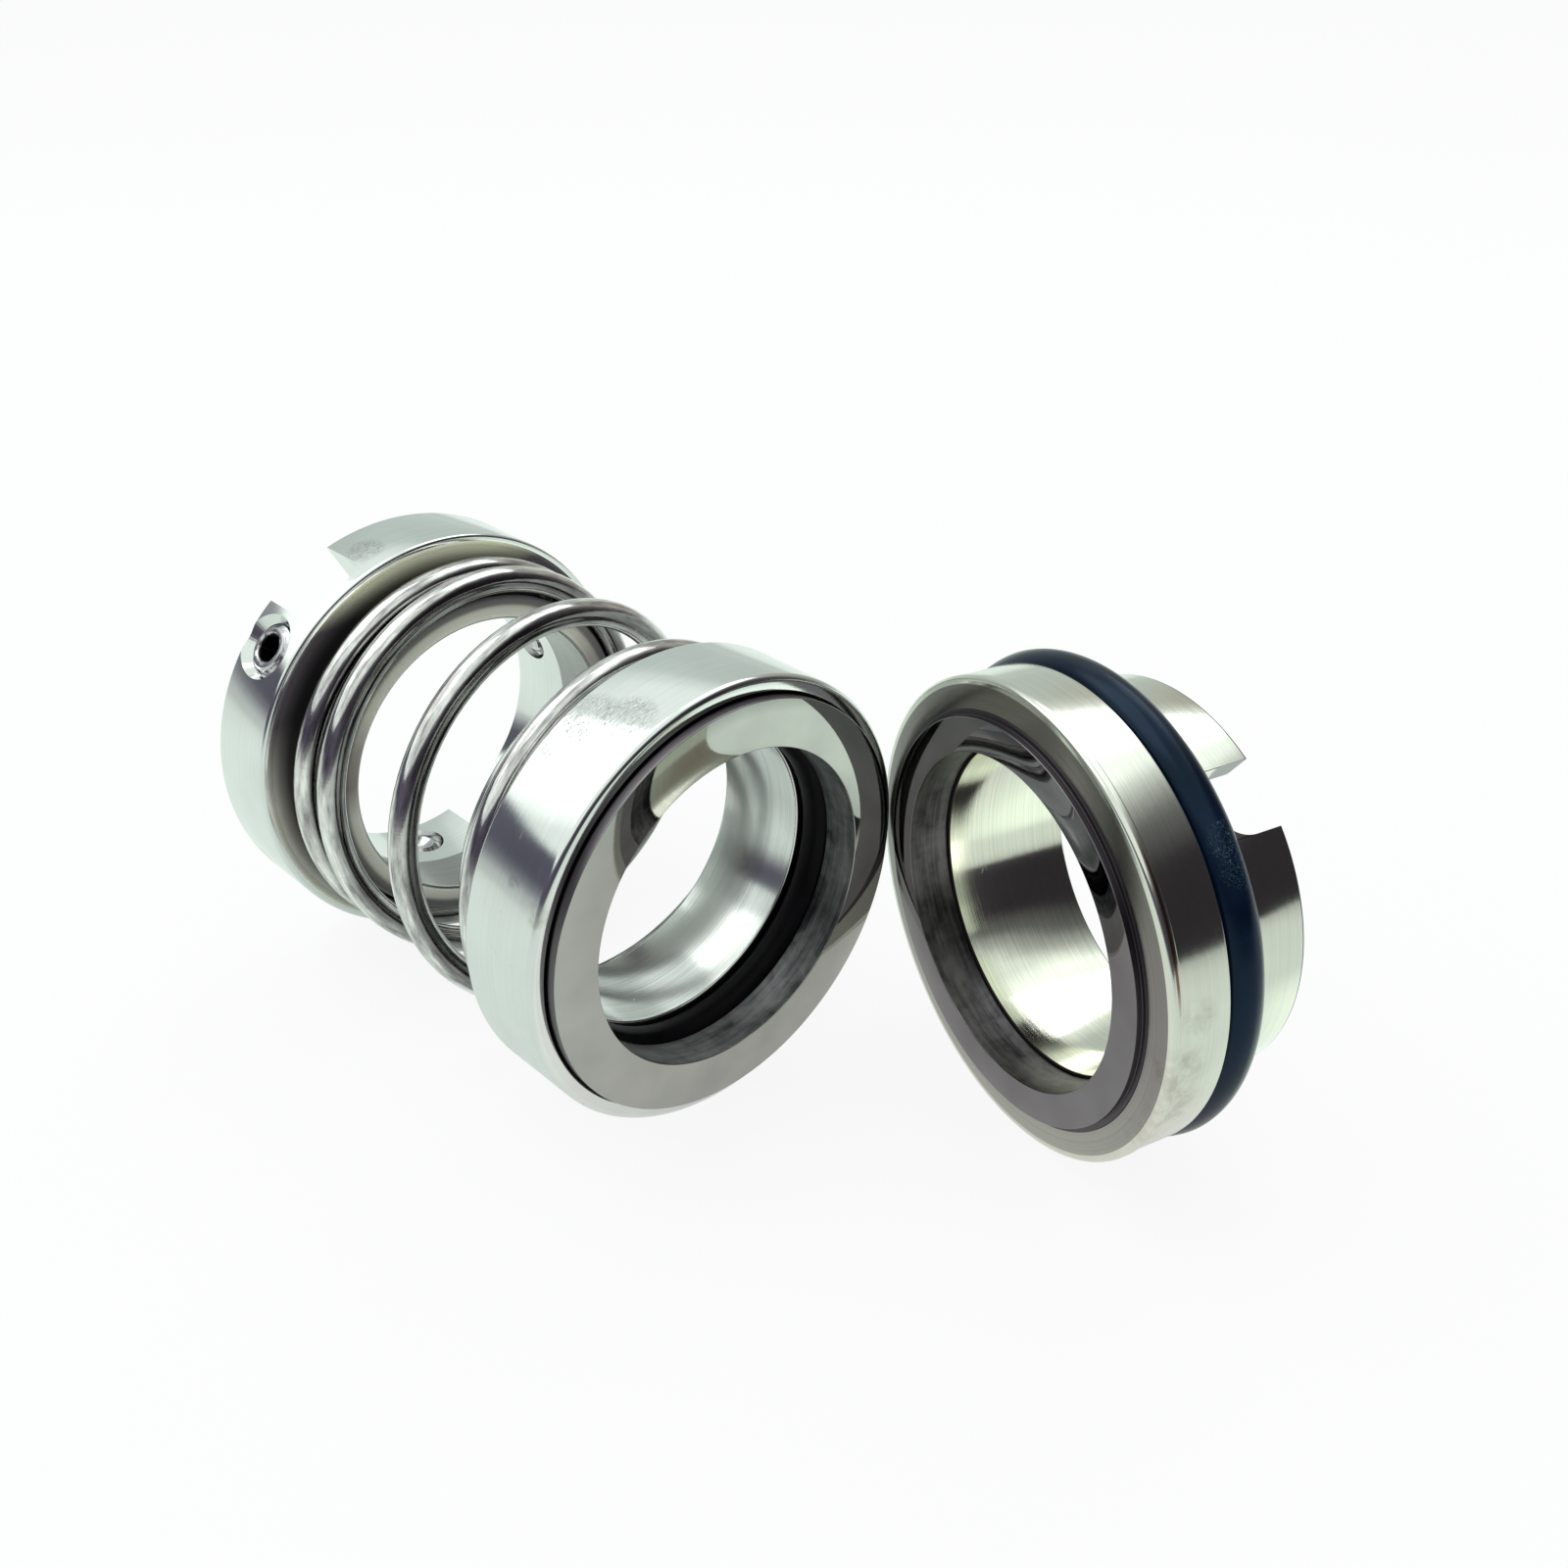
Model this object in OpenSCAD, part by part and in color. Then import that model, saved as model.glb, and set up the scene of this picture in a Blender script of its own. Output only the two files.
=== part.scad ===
// Component mechanical seal for a pump shaft: a spring-loaded rotary head and its stationary seat.
// Both units lie on their sides, with the two running faces turned towards each other.
// Frame: the shaft axis of the rotary head is Y, +Y points from the running face to the drive
// collar, +Z is up, and the origin is the centre of the shaft bore at the collar's rear face.
// Every turned profile is written as [radius, station]; a station is a distance behind the
// running face of its own unit.

/* [Shaft] */
// Diameter of the pump shaft
shaft_d = 45; // [30:1:70]
// Radial clearance between the shaft and the steel bores
shaft_clear = 0.1; // [0.05:0.01:0.3]
// Radial clearance between the shaft and the carbide faces
face_clear = 1.0; // [0.5:0.1:2]

/* [Rotary face insert] */
// Radial width of the rotary running face
rotary_face_w = 6.9; // [4:0.1:10]
// Thickness of the rotary face insert
rotary_insert_len = 5.8; // [4:0.1:9]
// How far the rotary insert stands out of its holder
rotary_proud = 1.6; // [0.5:0.1:3]
// Radial gap of the shrink fit between an insert and its holder
insert_gap = 0.02; // [0.01:0.01:0.05]
// Edge break on the lapped faces
face_break = 0.12; // [0.05:0.01:0.3]

/* [Rotary holder] */
// Wall of the holder outside the rotary insert
holder_wall = 2.55; // [1.8:0.05:4]
// Radius of the holder's rounded front rim
holder_round = 1.0; // [0.3:0.1:1.5]
// Edge break at the rear of the holder and in its front recess
holder_break = 0.4; // [0.1:0.1:0.8]

/* [Packing ring] */
// Section diameter of the rubber ring that seals on the shaft
packing_d = 5.3; // [3.5:0.1:7]
// How far the free packing ring is smaller than the shaft, on the radius
packing_grip = 0.2; // [0:0.05:0.5]
// Gap round a rubber ring in its chamber
rubber_gap = 0.03; // [0.01:0.01:0.1]

/* [Thrust ring] */
// Length of the nose that enters the packing ring's chamber
thrust_nose_len = 0.94; // [0.6:0.02:2]
// Thickness of the flange that the spring bears on
thrust_flange_len = 1; // [0.8:0.1:1.6]
// Depth of the spring's seat inside the holder's rear edge
spring_recess = 2.4; // [1.8:0.1:2.6]
// Length of the thrust ring's hub inside the spring
thrust_hub_len = 11.3; // [6:0.1:16]
// Radial clearance between the thrust ring and the holder
thrust_clear = 0.15; // [0.05:0.05:0.4]
// Edge break on the thrust ring
thrust_break = 0.4; // [0.1:0.1:0.5]

/* [Spring] */
// Wire diameter
wire_d = 4.1; // [2.5:0.1:5]
// Wall of the two hubs that carry the spring's ends
hub_wall = 3.8; // [2.5:0.1:6]
// Radial clearance between the wire and the two hubs
wire_clear = 0.35; // [0.3:0.05:0.8]
// Free length of the spring
spring_len = 54.8; // [46:0.1:70]
// Turns of the whole spring
spring_turns = 4.75; // [4.25:0.05:5.5]
// Rise of one close turn at the collar end, as a multiple of the wire diameter
close_rise_rear = 1.15; // [1.05:0.01:1.4]
// Rise of one close turn at the face end, as a multiple of the wire diameter
close_rise_front = 1.05; // [1.02:0.01:1.4]
// Close turns at the collar end
close_turns_rear = 1.7; // [1.25:0.05:2]
// Close turns at the face end
close_turns_front = 1.05; // [0.75:0.05:1.25]
// Angle of the wire's rear end round the axis
spring_start_angle = 306; // [0:1:359]

/* [Drive collar] */
// Radial width of the collar's front outside the spring
collar_edge = 2.35; // [2.1:0.05:5]
// Length of the collar from its front rim to its rear face
collar_len = 12.8; // [11:0.1:20]
// Length of the hub in front of the collar's shoulder
collar_hub_len = 10.5; // [5:0.1:14]
// Depth of the dished front between the rim and the shoulder
dish_depth = 0.4; // [0.3:0.05:2]
// Radial width of the collar's front rim
rim_w = 1.2; // [0.9:0.05:1.6]
// Radius of the collar's rounded front edge
rim_round = 0.8; // [0.2:0.05:0.85]
// Edge break on the collar and its hub
collar_break = 0.6; // [0.1:0.1:1]

/* [Drive slot] */
// Width of the slot milled across the collar's rear face
slot_w = 11.8; // [8:0.1:14]
// Depth of the slot from the rear face
slot_depth = 10.6; // [5:0.1:10.8]
// Angle of the slot round the axis
slot_angle = 63; // [58:1:70]

/* [Set screws] */
// Thread diameter of the set screws
screw_d = 8; // [5:1:8]
// Distance of the set screws from the collar's rear face
screw_from_rear = 5.1; // [4.5:0.1:6]
// Angle of the first set screw round the axis
screw_angle = 42; // [36:1:44]
// Number of set screws
screw_count = 3; // [3:1:3]
// How far a set screw sits below the collar's outside
screw_sink = 0.7; // [0.2:0.1:2]
// Radial clearance in the tapped holes
thread_clear = 0.05; // [0.02:0.01:0.1]
// Extra radius of the countersink round a set screw
countersink = 1.5; // [0.3:0.1:1.8]
// Width across the flats of the hex sockets
socket_w = 4; // [2.5:0.5:4]
// Depth of the hex sockets
socket_depth = 4.5; // [2:0.5:5]

/* [Stationary face insert] */
// Radial width of the narrow running nose
seat_face_w = 4.75; // [4.5:0.05:8]
// Height of the nose
nose_len = 0.95; // [0.4:0.05:2]
// Radial step beside the nose
nose_step = 0.75; // [0.3:0.05:2]
// Thickness of the stationary face insert
seat_insert_len = 6.3; // [4.5:0.1:9]

/* [Seat holder] */
// Wall of the seat holder outside the stationary insert
seat_wall = 4.2; // [3.5:0.05:6]
// How far the lip stands out of the seat holder's cylinder
lip_proud = 0.2; // [0.1:0.1:1.5]
// Step from the insert's shoulder back to the seat holder's front
front_step = 0.1; // [0.05:0.05:0.3]
// Slope of the seat holder's front, from the insert to the lip
front_fall = 0.6; // [0:0.1:1.5]
// Radius of the rounded lip
lip_round = 1.2; // [0.4:0.1:1.5]
// Length of the lip behind its rounded edge
lip_len = 0.3; // [0.2:0.1:3]
// Station of the shoulder behind the cylinder
shoulder_station = 10.1; // [9.3:0.1:14]
// Overall length of the stationary seat
seat_len = 26.3; // [24:0.1:36]
// Extra radial clearance of the seat holder's bore round the shaft
seat_bore_extra = 0.55; // [0.2:0.05:1.5]
// Wall of the tail
tail_wall = 4.8; // [3.5:0.05:5.2]
// Edge break on the seat holder
seat_break = 0.4; // [0.1:0.1:0.6]

/* [Seat ring] */
// Section diameter of the seat's rubber ring
seat_ring_d = 5.85; // [4:0.05:6.5]
// Depth of the groove under the seat's rubber ring
groove_depth = 0.3; // [0.1:0.05:0.5]
// Slack of the rubber ring on its groove, in radius: it lies on the ground with the seat's weight on it
seat_ring_slack = 0.45; // [0:0.05:0.6]

/* [Pin slot] */
// Width of the slot for the anti-rotation pin
pin_slot_w = 9.4; // [5:0.1:10]
// Depth of the pin slot from the rear of the tail
pin_slot_depth = 8.6; // [6:0.1:9.5]
// Angle of the pin slot round the seat's axis
pin_slot_angle = 127; // [0:1:359]

/* [Arrangement] */
// Turn of the seat's axis away from the rotary head's axis, seen from above
seat_yaw = 107; // [100:0.5:115]
// Sideways distance between the rotary holder and the nearest edge of the seat's lip
rim_gap = 2; // [2:0.05:20]
// How far that edge lies behind the rotary running face
rim_reach = 3.3; // [-20:0.1:3.4]

/* [Hidden] */
$fn = 96;
// Overlap that lets a cutting shape pass through a surface
eps = 0.5;

// Radii shared by both units
shaft_r = shaft_d / 2;
steel_bore_r = shaft_r + shaft_clear;
face_bore_r = shaft_r + face_clear;

// Rotary head, radii
wire_r = wire_d / 2;
rotary_insert_r = face_bore_r + rotary_face_w;
insert_recess_r = rotary_insert_r + insert_gap;
holder_r = insert_recess_r + holder_wall - insert_gap;
packing_centre_r = shaft_r - packing_grip + packing_d / 2;
chamber_r = packing_centre_r + packing_d / 2 + rubber_gap;
flange_r = insert_recess_r + holder_wall / 4;
flange_recess_r = flange_r + thrust_clear;
hub_r = steel_bore_r + hub_wall;
coil_r = hub_r + wire_clear + wire_r;
collar_r = coil_r + wire_r + collar_edge;

// Rotary head, stations behind the rotary running face
holder_front = rotary_proud;
packing_station = rotary_insert_len + rubber_gap + packing_d / 2;
thrust_front = packing_station + packing_d / 2 + rubber_gap;
flange_front = thrust_front + thrust_nose_len;
flange_rear = flange_front + thrust_flange_len;
holder_rear = flange_rear + spring_recess;
thrust_rear = holder_rear + thrust_hub_len;
collar_shoulder = flange_rear + spring_len;
collar_front = collar_shoulder - dish_depth;
collar_rear = collar_front + collar_len;
hub_front = collar_shoulder - collar_hub_len;
slot_floor = collar_rear - slot_depth;
screw_station = collar_rear - screw_from_rear;

// Set screws
screw_r = screw_d / 2;
screw_hole_r = screw_r + thread_clear;
screw_top = collar_r - screw_sink;
screw_tip = steel_bore_r + shaft_clear;
screw_break = screw_r / 5;
cup_r = screw_r / 2;
cup_depth = cup_r / 2;
socket_r = socket_w / 2 / cos(30);

// Stationary seat, radii
nose_r = face_bore_r + seat_face_w;
seat_insert_r = nose_r + nose_step;
seat_recess_r = seat_insert_r + insert_gap;
seat_body_r = seat_insert_r + seat_wall;
lip_r = seat_body_r + lip_proud;
seat_bore_r = steel_bore_r + seat_bore_extra;
tail_r = seat_bore_r + tail_wall;
groove_r = tail_r - groove_depth;
seat_ring_centre_r = groove_r + rubber_gap + seat_ring_slack + seat_ring_d / 2;
seat_ring_lift = max(0, seat_ring_slack - rubber_gap);
seat_ring_low_r = seat_ring_centre_r - seat_ring_lift + seat_ring_d / 2;

// Stationary seat, stations behind the stationary running face
seat_front = nose_len + front_step;
lip_front = seat_front + front_fall;
lip_rear = lip_front + lip_round + lip_len;
seat_ring_station = shoulder_station + rubber_gap + seat_ring_d / 2;
groove_rear = seat_ring_station + seat_ring_d / 2 + rubber_gap;
pin_slot_r = pin_slot_w / 2;
pin_slot_centre = seat_len - pin_slot_depth + pin_slot_r;

// Place of the seat's running face beside the head's axis and in front of the head's own face
lip_edge = lip_front + lip_round;
seat_x = holder_r + rim_gap - lip_edge * sin(seat_yaw) + lip_r * cos(seat_yaw);
seat_y = lip_edge * cos(seat_yaw) + lip_r * sin(seat_yaw) - rim_reach;

// Height of the seat's axis above the head's axis, so that both units lie on one surface
seat_z = max(lip_r, seat_ring_low_r) - collar_r;

// Spring rise: a close pitch at the ends and an open pitch between them, joined by short ramps
rear_pitch = wire_d * close_rise_rear;
front_pitch = wire_d * close_rise_front;
centre_rise = spring_len - wire_d;
open_turns = spring_turns - close_turns_rear - close_turns_front;
open_pitch = (centre_rise - rear_pitch * close_turns_rear - front_pitch * close_turns_front) / open_turns;
pitch_ramp = 0.5;
rings_per_turn = 36;
wire_sides = 12;
ring_count = ceil(spring_turns * rings_per_turn);

// Colours
bright_steel = [0.78, 0.80, 0.80];
brushed_steel = [0.70, 0.71, 0.69];
carbide_grey = [0.42, 0.42, 0.42];
rubber_black = [0.06, 0.06, 0.07];
rubber_blue = [0.07, 0.13, 0.22];

// Places a unit modelled along +Z with its running face at zero: its axis becomes +Y, its +X
// points to -X and its +Y points up
module lay_down() {
    rotate([-90, 0, 0]) rotate([0, 0, 180]) children();
}

module head_place() {
    translate([0, -collar_rear, 0]) lay_down() children();
}

module seat_place() {
    translate([seat_x, -collar_rear - seat_y, seat_z]) rotate([0, 0, -seat_yaw]) lay_down() children();
}

// A solid turned from a closed [radius, station] outline
module turned(outline) {
    rotate_extrude() polygon(outline);
}

// A rubber ring of round section
module rubber_ring(centre_r, section_d, station) {
    translate([0, 0, station]) rotate_extrude() translate([centre_r, 0]) circle(d = section_d, $fn = 48);
}

// Points of a rounded outer corner, from the face at the given station to the cylinder
function outer_round(radius, station, r, steps = 8) =
    [for (i = [0 : steps]) let (a = 90 * i / steps) [radius - r + r * sin(a), station + r - r * cos(a)]];

// Points of the dished front, from the flat shoulder under the spring out to the rim
function dish(inner_r, outer_r, shoulder, depth, steps = 6) =
    [for (i = [0 : steps]) let (u = i / steps)
        [inner_r + (outer_r - inner_r) * u, shoulder - depth * u * u * (3 - 2 * u)]];

// Bore, rounded rim, dished front and hub of the collar, before it is milled and drilled
module collar_blank() {
    rim_r = collar_r - rim_w;
    turned(concat(
        [[steel_bore_r, hub_front + collar_break],
         [steel_bore_r + collar_break, hub_front],
         [hub_r - collar_break, hub_front],
         [hub_r, hub_front + collar_break],
         [hub_r, collar_shoulder]],
        dish(coil_r + wire_r, rim_r, collar_shoulder, dish_depth),
        outer_round(collar_r, collar_front, rim_round),
        [[collar_r, collar_rear - collar_break / 2],
         [collar_r - collar_break / 2, collar_rear],
         [steel_bore_r, collar_rear]]));
}

module drive_slot() {
    rotate([0, 0, slot_angle]) translate([-2 * collar_r, -slot_w / 2, slot_floor])
        cube([4 * collar_r, slot_w, slot_depth + eps]);
}

// Turns a shape drawn along +X to the place of one set screw
module at_screw(i) {
    translate([0, 0, screw_station]) rotate([0, 0, screw_angle + i * 360 / screw_count]) children();
}

// Tapped hole with a countersink at the collar's outside
module screw_hole() {
    past = screw_hole_r / 4;
    rotate([0, 90, 0]) rotate_extrude() polygon([
        [0, steel_bore_r / 2],
        [screw_hole_r, steel_bore_r / 2],
        [screw_hole_r, collar_r - countersink],
        [screw_hole_r + countersink + past, collar_r + past],
        [0, collar_r + past]]);
}

module drive_collar() {
    color(bright_steel) head_place() difference() {
        collar_blank();
        drive_slot();
        for (i = [0 : screw_count - 1]) at_screw(i) screw_hole();
    }
}

// Hex socket set screw with a chamfered top and a cup point
module set_screw(i) {
    color(bright_steel) head_place() at_screw(i) rotate([0, 90, 0]) difference() {
        rotate_extrude() polygon([
            [0, screw_tip + cup_depth],
            [cup_r, screw_tip],
            [screw_r - screw_break, screw_tip + screw_break / 2],
            [screw_r, screw_tip + 2 * screw_break],
            [screw_r, screw_top - screw_break],
            [screw_r - screw_break, screw_top],
            [0, screw_top]]);
        translate([0, 0, screw_top - socket_depth]) cylinder(r = socket_r, h = socket_depth + eps, $fn = 6);
        translate([0, 0, screw_top - screw_break / 2]) cylinder(
            r1 = socket_r - screw_break / 2, r2 = socket_r + screw_break / 2, h = screw_break);
    }
}

// Integral of a step that is smoothed over pitch_ramp turns
function ramp(x) =
    x <= -pitch_ramp / 2 ? 0 :
    x >= pitch_ramp / 2 ? x :
    pow(x + pitch_ramp / 2, 2) / (2 * pitch_ramp);

// Distance of the wire's centre in front of its rear end, after n turns
function wire_rise(n) =
    rear_pitch * n + (open_pitch - rear_pitch) * ramp(n - close_turns_rear)
    - (open_pitch - front_pitch) * ramp(n - close_turns_rear - open_turns);

function wire_centre(n) =
    let (a = spring_start_angle - 360 * n)
    [coil_r * cos(a), coil_r * sin(a), collar_shoulder - wire_r - wire_rise(n)];

// One ring of points round the wire, square to its run
function wire_ring(n) =
    let (
        a = spring_start_angle - 360 * n,
        step = 1 / rings_per_turn,
        ahead = wire_centre(n + step) - wire_centre(n - step),
        along = ahead / norm(ahead),
        out = [cos(a), sin(a), 0],
        side = cross(along, out))
    [for (k = [0 : wire_sides - 1]) let (b = 360 * k / wire_sides)
        wire_centre(n) + wire_r * (cos(b) * out + sin(b) * side)];

module coil_spring() {
    rings = [for (i = [0 : ring_count]) wire_ring(spring_turns * i / ring_count)];
    points = [for (ring = rings) each ring];
    sides = [for (i = [0 : ring_count - 1], k = [0 : wire_sides - 1])
        let (a = i * wire_sides + k, b = i * wire_sides + (k + 1) % wire_sides)
        [a, b, b + wire_sides, a + wire_sides]];
    first = [for (k = [wire_sides - 1 : -1 : 0]) k];
    last = [for (k = [0 : wire_sides - 1]) ring_count * wire_sides + k];
    color(bright_steel) head_place() polyhedron(points, concat([first], sides, [last]));
}

// Sleeve and flange: the nose presses the packing ring, the hub carries the spring's front end
module thrust_ring() {
    nose_end_r = chamber_r - thrust_clear;
    color(bright_steel) head_place() turned([
        [steel_bore_r, thrust_front + thrust_break],
        [steel_bore_r + thrust_break, thrust_front],
        [nose_end_r - thrust_break, thrust_front],
        [nose_end_r, thrust_front + thrust_break],
        [nose_end_r, flange_front],
        [flange_r, flange_front],
        [flange_r, flange_rear],
        [hub_r, flange_rear],
        [hub_r, thrust_rear - thrust_break],
        [hub_r - thrust_break, thrust_rear],
        [steel_bore_r + thrust_break, thrust_rear],
        [steel_bore_r, thrust_rear - thrust_break]]);
}

module packing_o_ring() {
    color(rubber_black) head_place() rubber_ring(packing_centre_r, packing_d, packing_station);
}

// Front recess for the insert, chamber for the packing ring, rear recess for the thrust flange
module rotary_holder() {
    color(bright_steel) head_place() turned(concat(
        [[chamber_r, flange_front],
         [chamber_r, rotary_insert_len],
         [insert_recess_r, rotary_insert_len],
         [insert_recess_r, holder_front + holder_break],
         [insert_recess_r + holder_break, holder_front]],
        outer_round(holder_r, holder_front, holder_round),
        [[holder_r, holder_rear - holder_break],
         [holder_r - holder_break, holder_rear],
         [flange_recess_r, holder_rear],
         [flange_recess_r, flange_front]]));
}

module rotary_face_insert() {
    color(carbide_grey) head_place() turned([
        [face_bore_r, face_break],
        [face_bore_r + face_break, 0],
        [rotary_insert_r - face_break, 0],
        [rotary_insert_r, face_break],
        [rotary_insert_r, rotary_insert_len],
        [face_bore_r, rotary_insert_len]]);
}

// Round-ended slot that the gland's pin enters from the rear of the tail
module pin_slot() {
    rotate([0, 0, pin_slot_angle]) {
        translate([0, 0, pin_slot_centre]) rotate([0, 90, 0]) cylinder(r = pin_slot_r, h = lip_r);
        translate([0, -pin_slot_r, pin_slot_centre]) cube([lip_r, pin_slot_w, pin_slot_depth]);
    }
}

module seat_blank() {
    turned(concat(
        [[seat_bore_r, seat_insert_len],
         [seat_recess_r, seat_insert_len],
         [seat_recess_r, seat_front]],
        outer_round(lip_r, lip_front, lip_round),
        [[lip_r, lip_rear],
         [seat_body_r, lip_rear + lip_proud],
         [seat_body_r, shoulder_station - seat_break],
         [seat_body_r - seat_break, shoulder_station],
         [groove_r, shoulder_station],
         [groove_r, groove_rear],
         [tail_r, groove_rear + groove_depth],
         [tail_r, seat_len - seat_break],
         [tail_r - seat_break, seat_len],
         [seat_bore_r + seat_break, seat_len],
         [seat_bore_r, seat_len - seat_break]]));
}

module seat_holder() {
    color(brushed_steel) seat_place() difference() {
        seat_blank();
        pin_slot();
    }
}

module seat_face_insert() {
    color(carbide_grey) seat_place() turned([
        [face_bore_r, face_break],
        [face_bore_r + face_break, 0],
        [nose_r - face_break, 0],
        [nose_r, face_break],
        [nose_r, nose_len],
        [seat_insert_r, nose_len],
        [seat_insert_r, seat_insert_len],
        [face_bore_r, seat_insert_len]]);
}

module seat_o_ring() {
    color(rubber_blue) seat_place() translate([0, seat_ring_lift, 0])
        rubber_ring(seat_ring_centre_r, seat_ring_d, seat_ring_station);
}

drive_collar();
set_screw(0);  // set_screw_1
set_screw(1);  // set_screw_2
set_screw(2);  // set_screw_3
coil_spring();
thrust_ring();
packing_o_ring();
rotary_holder();
rotary_face_insert();
seat_holder();
seat_face_insert();
seat_o_ring();
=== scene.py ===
"""Component mechanical seal: rotary unit and stationary seat, lying on a pale floor.

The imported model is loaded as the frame. Its turned pieces are rebuilt here on the same profiles with
finer edges, real thread on the screws and worked surfaces. Lengths are in millimetres until a mesh is
made. A turned profile is a list of (radius, station, rounding), a station being the distance behind
the running face of its own unit.
"""

import math

import bmesh
import bpy
import numpy as np
from mathutils import Matrix, Vector


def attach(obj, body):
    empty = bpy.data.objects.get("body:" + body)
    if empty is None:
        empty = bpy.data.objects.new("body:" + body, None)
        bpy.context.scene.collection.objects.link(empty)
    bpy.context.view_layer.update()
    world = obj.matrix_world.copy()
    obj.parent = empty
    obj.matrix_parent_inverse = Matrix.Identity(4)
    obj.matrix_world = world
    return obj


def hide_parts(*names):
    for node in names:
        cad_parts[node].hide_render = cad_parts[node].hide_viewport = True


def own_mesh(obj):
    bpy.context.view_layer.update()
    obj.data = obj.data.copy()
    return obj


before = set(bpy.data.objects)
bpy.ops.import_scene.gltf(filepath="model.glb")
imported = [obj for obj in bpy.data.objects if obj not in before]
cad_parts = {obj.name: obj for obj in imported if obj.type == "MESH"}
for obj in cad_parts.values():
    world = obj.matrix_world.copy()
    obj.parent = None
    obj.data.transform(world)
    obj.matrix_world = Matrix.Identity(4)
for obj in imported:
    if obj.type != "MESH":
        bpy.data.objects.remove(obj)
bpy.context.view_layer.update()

MM = 0.001
HEAD = "head"
ROOT = "collar_and_seat"

# Edges that turn by more than SHARP degrees stay sharp; RUBBER_FLASH is the height of a mould line
SHARP = 28.0
SEGMENTS = 288
RUBBER_FLASH = 0.03

# Sizes shared with the part's source
BORE_R = 22.6
FACE_BORE_R = 23.5
INSERT_R = 30.4
RECESS_R = 30.42
HOLDER_R = 32.95
HOLDER_FRONT = 1.6
HOLDER_REAR = 15.5
RECESS_DEPTH = 5.8
CHAMBER_R = 27.63
FLANGE_R = 31.05
SPRING_RECESS_R = 31.2
HUB_R = 26.4
WIRE_R = 2.05
COIL_R = 28.8
PACKING_CENTRE = 24.95
PACKING_R = 2.65
PACKING_STATION = 8.48
FLANGE_FRONT = 12.1
FLANGE_REAR = 13.1
SLEEVE_FRONT = 11.16
SLEEVE_REAR = 26.8
SLEEVE_NOSE_R = 27.48
SPRING_LEN = 54.8
SHOULDER = FLANGE_REAR + SPRING_LEN
COLLAR_FRONT = SHOULDER - 0.4
COLLAR_REAR = COLLAR_FRONT + 12.8
COLLAR_R = 33.2
HUB_FRONT = COLLAR_REAR - 22.4
SEAT_YAW = math.radians(107.0)
SEAT_BORE_R = 23.15
NOSE_R = 28.25
SEAT_INSERT_R = 29.0
SEAT_RECESS_R = 29.02
SEAT_BODY_R = 33.2
LIP_R = 33.4
TAIL_R = 27.95
GROOVE_R = 27.65
SEAT_RING_R = 2.925
SEAT_RING_CENTRE = 31.055
SEAT_RING_LIFT = 0.42
LIP_EDGE = 2.85
SEAT_DEPTH = 6.3
NOSE_LEN = 0.95
GROOVE_FRONT = 10.1
GROOVE_REAR = 16.0
SEAT_END = 26.3
SEAT_RING_STATION = 13.055

# Place of the seat beside the head
SEAT_ASIDE = 2.0
SEAT_AHEAD = 3.3
SEAT_X = HOLDER_R + SEAT_ASIDE - LIP_EDGE * math.sin(SEAT_YAW) + LIP_R * math.cos(SEAT_YAW)
SEAT_Y = LIP_EDGE * math.cos(SEAT_YAW) + LIP_R * math.sin(SEAT_YAW) - SEAT_AHEAD
SEAT_Z = SEAT_RING_CENTRE - SEAT_RING_LIFT + SEAT_RING_R - COLLAR_R

# A unit's own frame has its axis on +Z and its running face at zero; its +X becomes the row's -X
LAY_DOWN = Matrix(((-1, 0, 0, 0), (0, 0, 1, 0), (0, 1, 0, 0), (0, 0, 0, 1)))
HEAD_PLACE = Matrix.Translation((0, -COLLAR_REAR, 0)) @ LAY_DOWN
SEAT_PLACE = (Matrix.Translation((SEAT_X, -COLLAR_REAR - SEAT_Y, SEAT_Z))
              @ Matrix.Rotation(-SEAT_YAW, 4, "Z") @ LAY_DOWN)


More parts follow.
